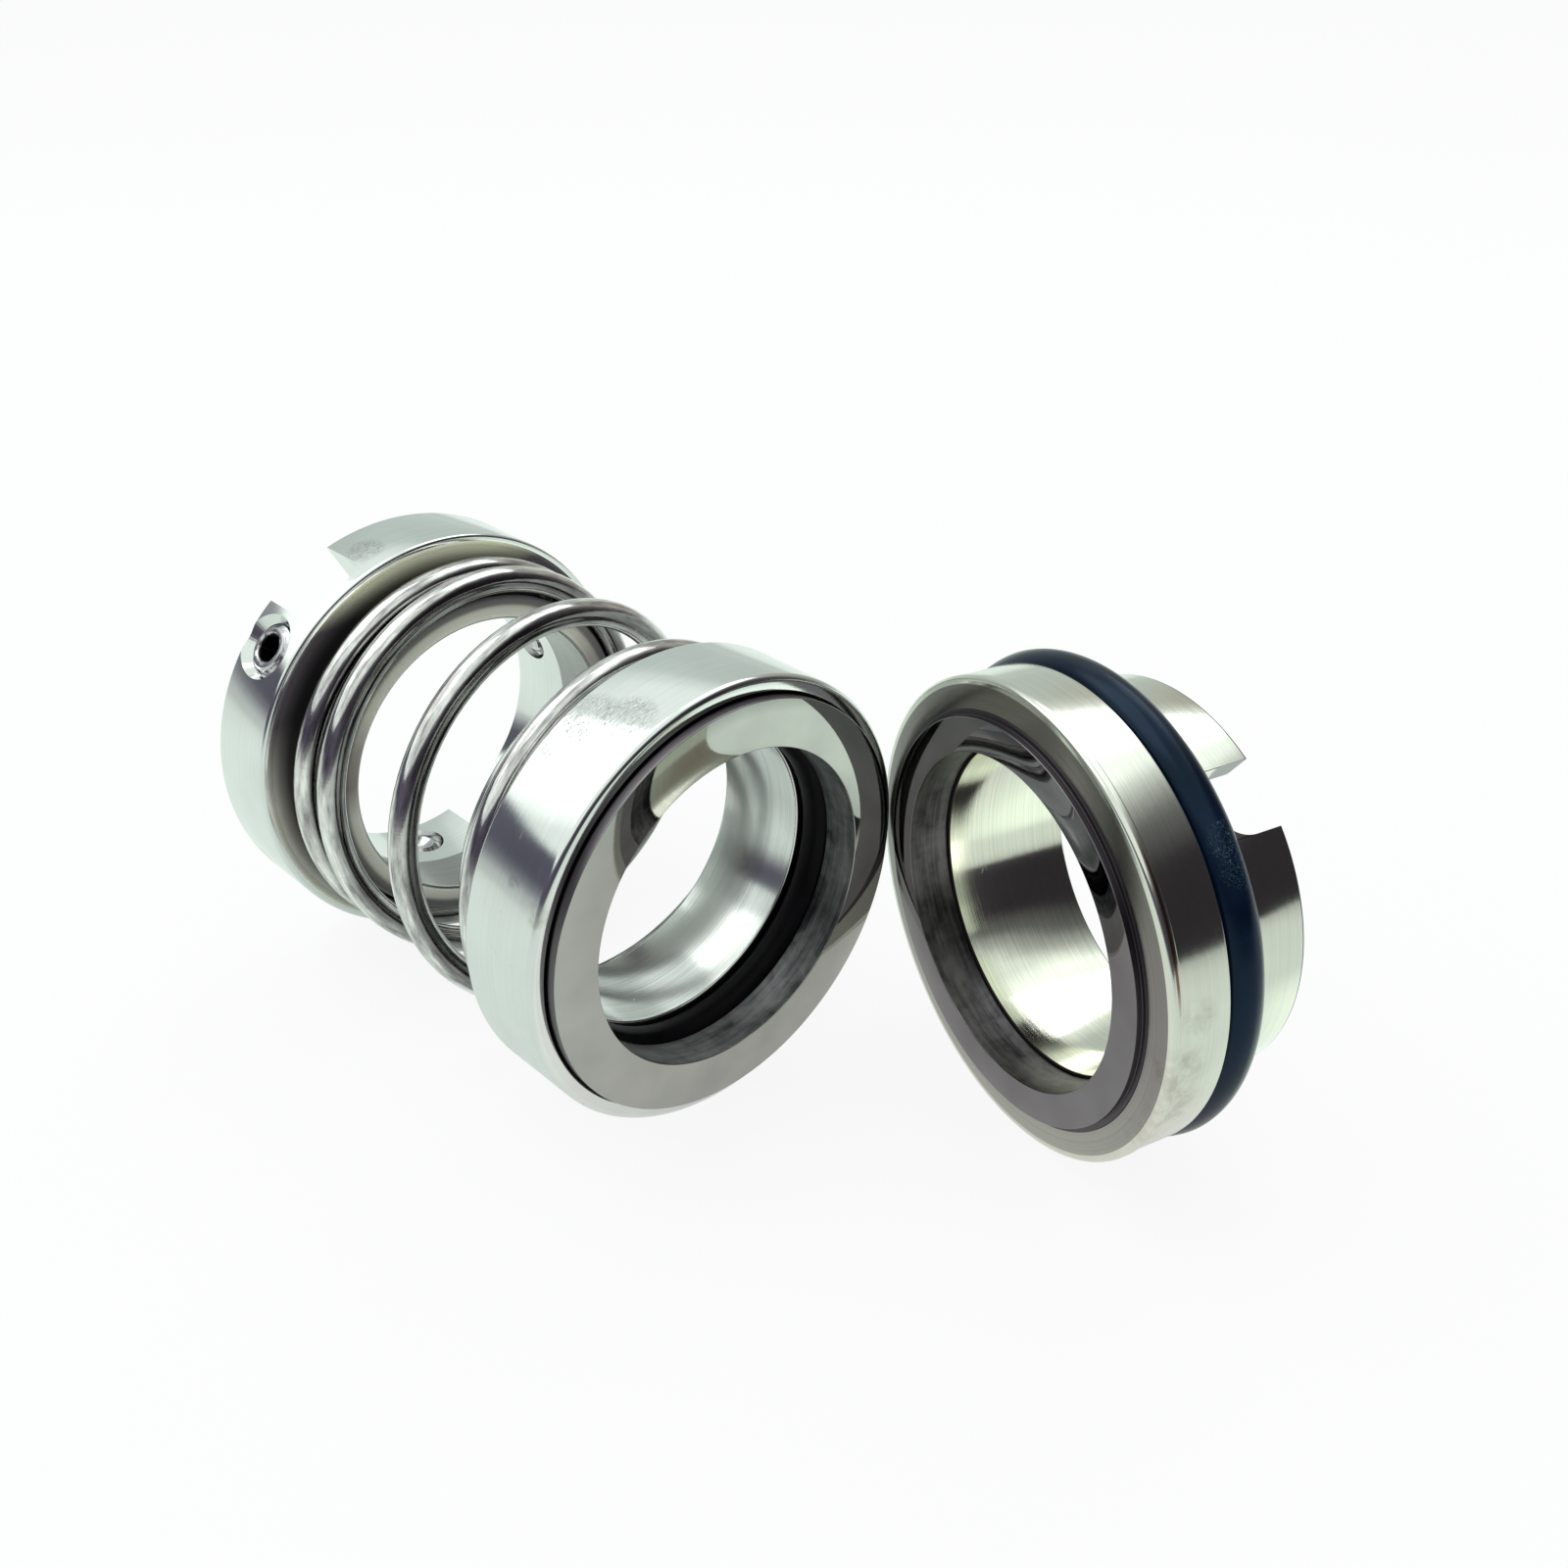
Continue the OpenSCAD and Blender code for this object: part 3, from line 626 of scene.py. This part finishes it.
def true_normals(obj, outline):
    """Shades turned walls with the profile's own normals, so cuts leave no trace on them."""
    mesh = obj.data
    pts = np.array(outline)
    seg = np.roll(pts, -1, axis=0) - pts
    length = np.linalg.norm(seg, axis=1)
    keep = length > 1e-9
    pts, seg, length = pts[keep], seg[keep], length[keep]
    nxt = np.roll(pts, -1, axis=0)
    area = float(np.sum(pts[:, 0] * nxt[:, 1] - nxt[:, 0] * pts[:, 1]))
    nrm = np.stack([seg[:, 1], -seg[:, 0]], axis=1) / length[:, None] * (1.0 if area > 0 else -1.0)
    limit = math.cos(math.radians(SHARP))
    soft = []
    for near in (np.roll(nrm, 1, axis=0), np.roll(nrm, -1, axis=0)):
        both = nrm + near
        both /= np.maximum(np.linalg.norm(both, axis=1), 1e-9)[:, None]
        soft.append(np.where((np.sum(nrm * near, axis=1) > limit)[:, None], both, nrm))

    def pull(items, attr, width, kind=np.float32):
        data = np.empty(len(items) * width, kind)
        items.foreach_get(attr, data)
        return data.reshape(-1, width) if width > 1 else data

    co = pull(mesh.vertices, "co", 3).astype(float)
    corner = pull(mesh.loops, "vertex_index", 1, np.int32)
    start = pull(mesh.polygons, "loop_start", 1, np.int32)
    count = pull(mesh.polygons, "loop_total", 1, np.int32)
    fn = pull(mesh.polygons, "normal", 3).astype(float)
    centre = pull(mesh.polygons, "center", 3).astype(float)
    face_of = np.empty(len(corner), int)
    for k in range(int(count.max())):
        has = count > k
        face_of[start[has] + k] = np.nonzero(has)[0]
    r, z = np.hypot(co[:, 0], co[:, 1]), co[:, 2]
    r_mid = np.bincount(face_of, r[corner], len(count)) / count
    z_mid = np.bincount(face_of, z[corner], len(count)) / count
    away = centre[:, :2] / np.maximum(np.linalg.norm(centre[:, :2], axis=1), 1e-6)[:, None]
    flat = np.stack([np.sum(fn[:, :2] * away, axis=1), fn[:, 2]], axis=1)
    dr, dz = r_mid[:, None] - pts[None, :, 0], z_mid[:, None] - pts[None, :, 1]
    off = np.abs(-dr * seg[:, 1] + dz * seg[:, 0]) / length
    run = (dr * seg[:, 0] + dz * seg[:, 1]) / length**2
    score = off + np.maximum(0, np.abs(run - 0.5) - 0.5) * length + (1 - flat @ nrm.T) * 0.5
    best = np.argmin(score, axis=1)
    hit = (score[np.arange(len(best)), best] < 0.05) & (np.abs(np.linalg.norm(flat, axis=1) - 1) < 0.02)
    b = best[face_of]
    rl, zl = r[corner], z[corner]
    t = ((rl - pts[b, 0]) * seg[b, 0] + (zl - pts[b, 1]) * seg[b, 1]) / length[b]**2
    t = np.clip(t, 0, 1)[:, None]
    m = np.where(t < 0.5, soft[0][b] * (1 - 2 * t) + nrm[b] * 2 * t,
                 nrm[b] * (2 - 2 * t) + soft[1][b] * (2 * t - 1))
    m /= np.linalg.norm(m, axis=1)[:, None]
    rl = np.maximum(rl, 1e-6)
    made = np.stack([m[:, 0] * co[corner, 0] / rl, m[:, 0] * co[corner, 1] / rl, m[:, 1]], axis=1)
    normals = np.where(hit[face_of][:, None], made, fn[face_of])
    mesh.polygons.foreach_set("use_smooth", np.ones(len(count), bool))
    mesh.normals_split_custom_set(normals.tolist())


def settle(obj, place, mat, body, node):
    """Moves a finished mesh from its unit's frame to the row's, in metres, and hands it over."""
    obj.data.transform(Matrix.Scale(MM, 4) @ place)
    if place.determinant() < 0:
        obj.data.flip_normals()
    obj.data.materials.clear()
    obj.data.materials.append(mat.mat)
    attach(obj, body)
    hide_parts(node)
    return obj


def turned_piece(name, corners, place, mat, body, node, cutters=(), steps=6):
    """A ring turned from rounded corners, less the cutters' shapes."""
    outline = fillet(corners, steps)
    obj = lathe(name, outline)
    if cutters:
        cut(obj, *cutters)
    true_normals(obj, outline)
    settle(obj, place, mat, body, node)


def solid(name, verts, faces):
    """An object from vertices and faces, all turned outward."""
    mesh = bpy.data.meshes.new(name)
    mesh.from_pydata([tuple(v) for v in verts], [], faces)
    outward(mesh)
    return add_object(name, mesh)


def prism(name, section, low, high, turn):
    """A prism along the radial direction of the given angle, from a section of (across, station)."""
    c, s = math.cos(turn), math.sin(turn)
    verts = []
    for u in (low, high):
        for v, z in section:
            verts.append((u * c - v * s, u * s + v * c, z))
    n = len(section)
    faces = [list(range(n)), list(range(2 * n - 1, n - 1, -1))]
    faces += [(k, (k + 1) % n, n + (k + 1) % n, n + k) for k in range(n)]
    return solid(name, verts, faces)


def spindle(name, outline, station, turn, sides=64):
    """A solid turned about the radial direction of the given angle: outline of (radius, distance out)."""
    verts, faces = [], []
    c, s = math.cos(turn), math.sin(turn)
    n = len(outline)
    for rad, u in outline:
        for k in range(sides):
            g = 2 * math.pi * k / sides
            v, z = rad * math.cos(g), rad * math.sin(g)
            verts.append((u * c - v * s, u * s + v * c, station + z))
    for i in range(n - 1):
        faces += ring_faces(i * sides, (i + 1) * sides, sides)
    faces.append(list(range(sides)))
    faces.append(list(range(n * sides - 1, (n - 1) * sides - 1, -1)))
    return solid(name, verts, faces)


# Rotary unit
turned_piece("rotary_holder_body", [
    (CHAMBER_R, FLANGE_FRONT, 0.1), (CHAMBER_R, RECESS_DEPTH, 0.15), (RECESS_R, RECESS_DEPTH, 0.1),
    (RECESS_R, 2.0, 0.1), (RECESS_R + 0.4, HOLDER_FRONT, 0.25), (HOLDER_R, HOLDER_FRONT, 1.0),
    (HOLDER_R, HOLDER_REAR, 0.45), (SPRING_RECESS_R, HOLDER_REAR, 0.3), (SPRING_RECESS_R, FLANGE_FRONT, 0.1)],
    HEAD_PLACE, MATS["holder"], HEAD, "rotary_holder", steps=8)

turned_piece("rotary_carbide_ring", [
    (FACE_BORE_R, 0.0, 0.10), (INSERT_R, 0.0, 0.12), (INSERT_R, RECESS_DEPTH, 0.05),
    (FACE_BORE_R, RECESS_DEPTH, 0.1)],
    HEAD_PLACE, MATS["carbide_a"], HEAD, "rotary_face_insert")

turned_piece("thrust_sleeve", [
    (BORE_R, SLEEVE_FRONT, 0.4), (SLEEVE_NOSE_R, SLEEVE_FRONT, 0.4), (SLEEVE_NOSE_R, FLANGE_FRONT, 0.08),
    (FLANGE_R, FLANGE_FRONT, 0.1), (FLANGE_R, FLANGE_REAR, 0.15), (HUB_R, FLANGE_REAR, 0.15),
    (HUB_R, SLEEVE_REAR, 0.55), (BORE_R, SLEEVE_REAR, 0.45)],
    HEAD_PLACE, MATS["sleeve"], HEAD, "thrust_ring")


def ring_section(centre, radius, station, steps=48):
    """Round rubber section with the fine mould line that runs round its inner and outer edge."""
    out = []
    for k in range(steps):
        g = 2 * math.pi * k / steps
        near = max(math.exp(-(math.sin(g / 2) / 0.035) ** 2), math.exp(-(math.cos(g / 2) / 0.035) ** 2))
        rad = radius - RUBBER_FLASH + RUBBER_FLASH * near
        out.append((centre + rad * math.cos(g), station + rad * math.sin(g)))
    return out


def rubber_piece(name, centre, radius, station, place, mat, body, node, lift=0.0):
    """A rubber ring of round section, moved up across its axis by the lift."""
    obj = lathe(name, ring_section(centre, radius, station))
    obj.data.transform(Matrix.Translation((0, lift, 0)))
    crease(obj, 60)
    settle(obj, place, mat, body, node)


rubber_piece("packing_ring_rubber", PACKING_CENTRE, PACKING_R, PACKING_STATION, HEAD_PLACE, MATS["rubber_a"],
             HEAD, "packing_o_ring")


# Coil spring
def ramp(x, width=0.5):
    """Zero below zero and x above it, with a smooth bend between."""
    if x <= -width / 2:
        return 0.0
    if x >= width / 2:
        return x
    return (x + width / 2) ** 2 / (2 * width)


TURNS = 4.75
REAR_TURNS, FRONT_TURNS = 1.7, 1.05
REAR_PITCH, FRONT_PITCH = 4.715, 4.305
OPEN_TURNS = TURNS - REAR_TURNS - FRONT_TURNS
OPEN_PITCH = (SPRING_LEN - 2 * WIRE_R - REAR_PITCH * REAR_TURNS - FRONT_PITCH * FRONT_TURNS) / OPEN_TURNS
START = math.radians(306)


def wire_centre(n):
    """The wire's centre after n turns from the collar's shoulder."""
    rise = (REAR_PITCH * n + (OPEN_PITCH - REAR_PITCH) * ramp(n - REAR_TURNS)
            - (OPEN_PITCH - FRONT_PITCH) * ramp(n - REAR_TURNS - OPEN_TURNS))
    g = START - 2 * math.pi * n
    return Vector((COIL_R * math.cos(g), COIL_R * math.sin(g), SHOULDER - WIRE_R - rise))


def spring(per_turn=88, sides=28, end=0.16, step=1e-3):
    """One round wire along its helix, its cut ends rounded off by end millimetres."""
    count = int(TURNS * per_turn)
    ns = [(0.0, WIRE_R - end), (0.0011, WIRE_R - end * 0.4), (0.0024, WIRE_R)]
    ns += [(TURNS * i / count, WIRE_R) for i in range(1, count)]
    ns += [(TURNS - 0.0024, WIRE_R), (TURNS - 0.0011, WIRE_R - end * 0.4), (TURNS, WIRE_R - end)]
    verts, faces, uvs = [], [], []
    turn_len = 2 * math.pi * COIL_R
    for n, rad in ns:
        along = (wire_centre(n + step) - wire_centre(n - step)).normalized()
        g = START - 2 * math.pi * n
        out = Vector((math.cos(g), math.sin(g), 0))
        side = along.cross(out)
        for k in range(sides):
            b = 2 * math.pi * k / sides
            verts.append(wire_centre(n) + rad * (math.cos(b) * out + math.sin(b) * side))
    for i in range(len(ns) - 1):
        faces += ring_faces(i * sides, (i + 1) * sides, sides)
        u0, u1 = ns[i][0] * turn_len, ns[i + 1][0] * turn_len
        for k in range(sides):
            v0, v1 = k / sides, (k + 1) / sides
            uvs.append([(u0, v0), (u0, v1), (u1, v1), (u1, v0)])
    last = (len(ns) - 1) * sides
    faces.append(tuple(range(sides)))
    uvs.append([(0.5 + 0.4 * math.cos(2 * math.pi * k / sides), 0.5 + 0.4 * math.sin(2 * math.pi * k / sides))
                for k in range(sides)])
    faces.append(tuple(range(last + sides - 1, last - 1, -1)))
    uvs.append(list(uvs[-1]))
    mesh = bpy.data.meshes.new("coil_spring_wire")
    mesh.from_pydata([tuple(v) for v in verts], [], faces)
    layer = mesh.uv_layers.new(name="along")
    layer.data.foreach_set("uv", [x for face in uvs for corner in face for x in corner])
    obj = add_object("coil_spring_wire", mesh)
    outward(mesh)
    crease(obj, 40)
    return settle(obj, HEAD_PLACE, MATS["wire"], ROOT, "coil_spring")


coil = spring()

# Drive collar
SLOT_ANGLE = math.radians(63)
SLOT_HALF = 5.9
SLOT_FLOOR = COLLAR_REAR - 10.6
DISH_R0, DISH_R1, DISH_RISE = 30.85, 32.0, 0.4
HOLE_R = 4.05


def slot_section(half, floor, top, corner=0.35, steps=4):
    """Section of the drive slot, open at the top, with rounded floor corners."""
    turns = [math.pi / 2 * k / steps for k in range(steps + 1)]
    pts = [(-half, top), (half, top)]
    pts += [(half - corner + corner * math.cos(g), floor + corner - corner * math.sin(g)) for g in turns]
    pts += [(-half + corner - corner * math.sin(g), floor + corner - corner * math.cos(g)) for g in turns]
    return pts


slot_cut = prism("slot_cut", slot_section(SLOT_HALF, SLOT_FLOOR, COLLAR_REAR + 2), -45, 45, SLOT_ANGLE)
# Tapped hole's wall, then its countersink, and a mouth that clears the collar's wall
hole = [(HOLE_R, 15.0), (HOLE_R, COLLAR_R - 1.6), (4.12, COLLAR_R - 1.45), (5.45, COLLAR_R - 0.1),
        (5.65, COLLAR_R), (7.2, COLLAR_R + 0.9)]
hole_cuts = [spindle(f"hole_cut_{i}", hole, SCREW_STATION, g) for i, g in enumerate(SCREW_ANGLES)]
dish = []
for u in (k / 6 for k in range(1, 6)):
    dish.append((DISH_R0 + (DISH_R1 - DISH_R0) * u, SHOULDER - DISH_RISE * u * u * (3 - 2 * u), 0.0))
turned_piece("drive_collar_body", [
    (BORE_R, HUB_FRONT, 0.5), (HUB_R, HUB_FRONT, 0.6), (HUB_R, SHOULDER, 0.12), *dish,
    (DISH_R1, COLLAR_FRONT, 0.1), (COLLAR_R, COLLAR_FRONT, 0.8), (COLLAR_R, COLLAR_REAR, 0.35),
    (BORE_R, COLLAR_REAR, 0.05)],
    HEAD_PLACE, MATS["collar"], ROOT, "drive_collar", cutters=[slot_cut, *hole_cuts])


# Set screws
def set_screw(i):
    """Hex socket set screw: real thread, chamfered top, cup point, and a socket with its entry chamfer."""
    tip, top = BORE_R + 0.1, COLLAR_R - 0.7
    pitch, depth, major = 1.25, 0.62, 3.97
    half_flats = 2.0
    sides, per_pitch = 60, 12
    count = int((top - tip) / pitch * per_pitch)
    verts, faces = [], []

    def radius(u, turn):
        """Thread, narrowed to the cup point at the tip and by the chamfer at the top."""
        tri = abs((u / pitch - turn) % 1.0 * 2 - 1)
        thread = major - depth * min(1.0, max(0.0, (tri - 0.12) / 0.76))
        return min(thread, 2.45 + (u - tip), 3.2 + (top - u))

    def loop(u, reach):
        """Adds a closed loop of vertices at the distance u out; reach gives the radius for a part of a turn."""
        start = len(verts)
        for k in range(sides):
            g = 2 * math.pi * k / sides
            verts.append((reach(k / sides) * math.cos(g), reach(k / sides) * math.sin(g), u))
        return start

    def hexagon(part):
        local = (2 * math.pi * part + math.pi / 6) % (math.pi / 3) - math.pi / 6
        return half_flats / math.cos(local)

    def inward(a, b):
        """Quads between two loops, wound the other way than those of ring_faces."""
        faces.extend((a + k, b + k, b + (k + 1) % sides, a + (k + 1) % sides) for k in range(sides))

    for j in range(count + 1):
        u = tip + (top - tip) * j / count
        loop(u, lambda part: radius(u, part))
    for j in range(count):
        faces += ring_faces(j * sides, (j + 1) * sides, sides)
    loops = [count * sides, loop(top + 0.02, lambda _: 3.0), loop(top, lambda _: 2.52),
             loop(top - 0.35, hexagon), loop(top - 4.5, hexagon), loop(top - 4.9, lambda _: 1.2)]
    for a, b in zip(loops, loops[1:]):
        inward(a, b)
    bottom = len(verts)
    verts.append((0, 0, top - 5.3))
    for k in range(sides):
        faces.append((loops[-1] + k, bottom, loops[-1] + (k + 1) % sides))
    lip = loop(tip - 0.02, lambda _: 2.1)
    cup = loop(tip + 0.9, lambda _: 0.9)
    for k in range(sides):
        m = (k + 1) % sides
        faces.append((k, m, lip + m, lip + k))
        faces.append((lip + k, lip + m, cup + m, cup + k))
    centre = len(verts)
    verts.append((0, 0, tip + 1.2))
    for k in range(sides):
        faces.append((cup + k, cup + (k + 1) % sides, centre))
    obj = solid(f"set_screw_{i + 1}_body", verts, faces)
    g = SCREW_ANGLES[i]
    spin = Matrix.Rotation(math.radians((12, 40, 5)[i]), 4, "Z")
    out = Vector((math.cos(g), math.sin(g), 0))
    up = Vector((0, 0, 1))
    turn = Matrix((up.cross(out), up, out)).transposed().to_4x4()
    obj.data.transform(Matrix.Translation((0, 0, SCREW_STATION)) @ turn @ spin)
    outward(obj.data)
    crease(obj, 32)
    settle(obj, HEAD_PLACE, MATS["screw"], f"screw_{i + 1}", f"set_screw_{i + 1}")


for i in range(3):
    set_screw(i)

# Stationary seat
PIN_DEPTH = 8.6
PIN_CENTRE = SEAT_END - PIN_DEPTH + PIN_R


def pin_section(top=30.0, steps=24):
    """Section of the pin slot: open at the tail's end, with a half-round floor."""
    pts = [(PIN_R, top), (-PIN_R, top)]
    for k in range(steps + 1):
        g = math.pi + math.pi * k / steps
        pts.append((PIN_R * math.cos(g), PIN_CENTRE + PIN_R * math.sin(g)))
    return pts


pin_cut = prism("pin_cut", pin_section(), 10, 40, PIN_ANGLE)
turned_piece("seat_holder_body", [
    (SEAT_BORE_R, SEAT_DEPTH, 0.1), (SEAT_RECESS_R, SEAT_DEPTH, 0.1), (SEAT_RECESS_R, 1.05, 0.1),
    (LIP_R, 1.5, 1.05), (LIP_R, 2.75, 0.05), (SEAT_BODY_R, 2.95, 0.05), (SEAT_BODY_R, GROOVE_FRONT, 0.3),
    (GROOVE_R, GROOVE_FRONT, 0.2), (GROOVE_R, GROOVE_REAR, 0.1), (TAIL_R, GROOVE_REAR + 0.3, 0.1),
    (TAIL_R, SEAT_END, 0.3), (SEAT_BORE_R, SEAT_END, 0.35)],
    SEAT_PLACE, MATS["seat"], ROOT, "seat_holder", cutters=[pin_cut])

turned_piece("seat_carbide_ring", [
    (FACE_BORE_R, 0.0, 0.10), (NOSE_R, 0.0, 0.10), (NOSE_R, NOSE_LEN, 0.12), (SEAT_INSERT_R, NOSE_LEN, 0.08),
    (SEAT_INSERT_R, SEAT_DEPTH, 0.05), (FACE_BORE_R, SEAT_DEPTH, 0.1)],
    SEAT_PLACE, MATS["carbide_b"], ROOT, "seat_face_insert")

rubber_piece("seat_ring_rubber", SEAT_RING_CENTRE, SEAT_RING_R, SEAT_RING_STATION, SEAT_PLACE, MATS["rubber_b"],
             ROOT, "seat_o_ring", SEAT_RING_LIFT)

# Stage, light and camera
FLOOR_Z = -COLLAR_R * MM


def make_floor(half=6.0):
    """Pale floor whose glow, seen in the steel, is brighter beside the head and beyond the seat."""
    mesh = bpy.data.meshes.new("floor")
    corners = [(-half, -half, FLOOR_Z), (half, -half, FLOOR_Z), (half, half, FLOOR_Z), (-half, half, FLOOR_Z)]
    mesh.from_pydata(corners, [], [(0, 1, 2, 3)])
    obj = add_object("floor", mesh)
    t = Surface("floor_white")
    t.bsdf.inputs["Base Color"].default_value = (0.84, 0.90, 0.86, 1)
    t.bsdf.inputs["Roughness"].default_value = 0.9
    t.bsdf.inputs["Specular IOR Level"].default_value = 0.1
    glow = t.new("ShaderNodeEmission")
    path = t.new("ShaderNodeLightPath")
    place = t.new("ShaderNodeTexCoord").outputs["Object"]
    tint = t.curve(t.distance(place, (0.15, 0.12, FLOOR_Z)),
                   [(0.15, (0.87, 0.985, 0.92)), (0.45, (0.76, 0.83, 0.78)), (1.0, (0.50, 0.52, 0.50))])
    beside = t.times(t.distance(place, (0.008, -0.108, FLOOR_Z)), 10.0)
    tint = t.mix(t.curve(beside, [(0.40, 1.0), (0.62, 0.0)]), tint, (1.15, 1.11, 1.09))
    beyond = t.times(t.distance(place, (0.080, -0.150, FLOOR_Z)), 10.0)
    tint = t.mix(t.curve(beyond, [(0.20, 1.0), (0.45, 0.0)]), tint, (1.65, 1.90, 1.68))
    t.link(t.mix(path.outputs["Is Camera Ray"], tint, WHITE), glow.inputs[0])
    share = t.plus(t.times(path.outputs["Is Camera Ray"], 0.88), t.times(path.outputs["Is Glossy Ray"], 0.45))
    t.link(t.mix_shader(share, t.bsdf.outputs[0], glow.outputs[0]), t.out.inputs[0])
    mesh.materials.append(t.mat)


make_floor()

# Walls of the studio: (azimuth from +Y towards +X, elevation of the top, colour, how much the far edge of
# the pale ground glows below). Lamps: (azimuth, elevation, reach in degrees, gain)
WALLS = [(-180, 44, (0.05, 0.045, 0.055), 0.1), (-150, 40, (0.06, 0.055, 0.07), 0.2),
         (-120, 32, (0.09, 0.08, 0.11), 0.5), (-80, 24, (0.11, 0.10, 0.14), 0.8),
         (-45, 21, (0.10, 0.10, 0.135), 1.0), (-32, 22, (0.12, 0.12, 0.15), 1.0),
         (-18, 27, (0.30, 0.30, 0.33), 0.8), (5, 36, (0.55, 0.61, 0.59), 0.5),
         (30, 33, (0.59, 0.67, 0.64), 0.3), (52, 31, (0.57, 0.64, 0.60), 0.3),
         (68, 34, (0.44, 0.42, 0.36), 0.25), (85, 38, (0.42, 0.42, 0.39), 0.2),
         (120, 50, (0.07, 0.065, 0.07), 0.1), (145, 52, (0.028, 0.024, 0.030), 0.0),
         (163, 48, (0.028, 0.024, 0.030), 0.0), (180, 44, (0.05, 0.045, 0.055), 0.1)]
LAMPS = [(-27, 34, 16, 0.5), (88, 52, 26, 0.5)]


def make_world():
    """Studio surroundings: white to the eye, and for reflections a bright ceiling over darker walls."""
    world = bpy.data.worlds.new("studio")
    bpy.context.scene.world = world
    world.use_nodes = True
    t = Tree(world.node_tree)
    way = t.new("ShaderNodeTexCoord").outputs["Generated"]
    x, y, z = t.split(way)
    turn = t.plus(t.over(t.math("ARCTAN2", x, y), 2 * math.pi), 0.5)
    rise = t.over(t.math("ARCSINE", z), math.pi / 2)
    top = t.curve(turn, [(a / 360 + 0.5, h / 90) for a, h, _, _ in WALLS], True)
    dark = t.curve(turn, [(a / 360 + 0.5, c) for a, _, c, _ in WALLS], True)
    glow = t.curve(turn, [(a / 360 + 0.5, g) for a, _, _, g in WALLS], True)
    part = t.times(t.over(rise, top), 0.5, True)
    crisp = t.curve(part, [(0.0, 0.0), (0.44, 0.0), (0.51, 1.0)], True)
    gentle = t.curve(part, [(0.0, 0.0), (0.30, 0.0), (0.42, 0.10), (0.50, 0.4), (0.57, 1.0)], True)
    amount = t.plus(gentle, t.times(t.minus(crisp, gentle), glow))
    low = t.curve(rise, [(0.0, 0.55), (0.03, 0.32), (0.055, 0.12), (0.10, 0.0)], True)
    amount = t.math("MAXIMUM", amount, t.times(low, glow))
    for azimuth, elevation, reach, gain in LAMPS:
        g, e = math.radians(azimuth), math.radians(elevation)
        facing = t.dot(way, (math.sin(g) * math.cos(e), math.cos(g) * math.cos(e), math.sin(e)))
        wide, near = math.cos(math.radians(reach)), math.cos(math.radians(reach * 0.6))
        lamp = t.over(t.minus(facing, wide), near - wide, True)
        amount = t.plus(amount, t.times(t.times(lamp, amount), gain))

    def background(colour, strength=1.0):
        n = t.new("ShaderNodeBackground")
        t.put(n.inputs[0], colour)
        n.inputs[1].default_value = strength
        return n.outputs[0]

    path = t.new("ShaderNodeLightPath")
    light = background((0.95, 1.0, 0.97), 0.8)
    light = t.mix_shader(path.outputs["Is Glossy Ray"], light,
                         background(t.mix(amount, dark, (0.97, 1.05, 1.01), False)))
    light = t.mix_shader(path.outputs["Is Camera Ray"], light, background(WHITE))
    t.link(light, t.new("ShaderNodeOutputWorld").inputs[0])


make_world()


def area(name, at, aim, size, power, colour):
    """Soft rectangular light."""
    data = bpy.data.lights.new(name, "AREA")
    data.shape = "RECTANGLE"
    data.size, data.size_y = size
    data.energy = power
    data.color = colour
    obj = add_object(name, data)
    obj.location = at
    obj.rotation_euler = (Vector(aim) - Vector(at)).to_track_quat("-Z", "Y").to_euler()


area("key_light", (-0.25, 0.35, 0.85), (0, -0.06, 0), (0.8, 0.8), 2.6, (0.98, 1.0, 0.98))
area("fill_light", (0.55, 0.10, 0.75), (0.02, -0.08, 0), (0.5, 0.5), 0.9, (1.0, 1.0, 1.0))


# Camera fitted to the circles of the photographed rings
CAMERA_AT = (-0.11557, -0.21104, 0.12759)
HEADING, TILT, ROLL = (math.radians(v) for v in (43.715, 31.717, 0.862))
FOCAL_PIXELS, PHOTO_PIXELS, SENSOR = 1622.79, 1600, 36.0


def make_camera():
    fwd = Vector((math.sin(HEADING) * math.cos(TILT), math.cos(HEADING) * math.cos(TILT), -math.sin(TILT)))
    level = Vector((math.cos(HEADING), -math.sin(HEADING), 0))
    below = -level.cross(fwd)
    right = level * math.cos(ROLL) + below * math.sin(ROLL)
    down = -level * math.sin(ROLL) + below * math.cos(ROLL)
    data = bpy.data.cameras.new("photo_camera")
    data.sensor_width = SENSOR
    data.sensor_fit = "HORIZONTAL"
    data.lens = FOCAL_PIXELS / PHOTO_PIXELS * SENSOR
    data.clip_start = 0.01
    obj = add_object("photo_camera", data)
    obj.matrix_world = Matrix.Translation(CAMERA_AT) @ Matrix((right, -down, -fwd)).transposed().to_4x4()
    bpy.context.scene.camera = obj


make_camera()
bpy.context.scene.view_settings.view_transform = "Standard"

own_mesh(coil)
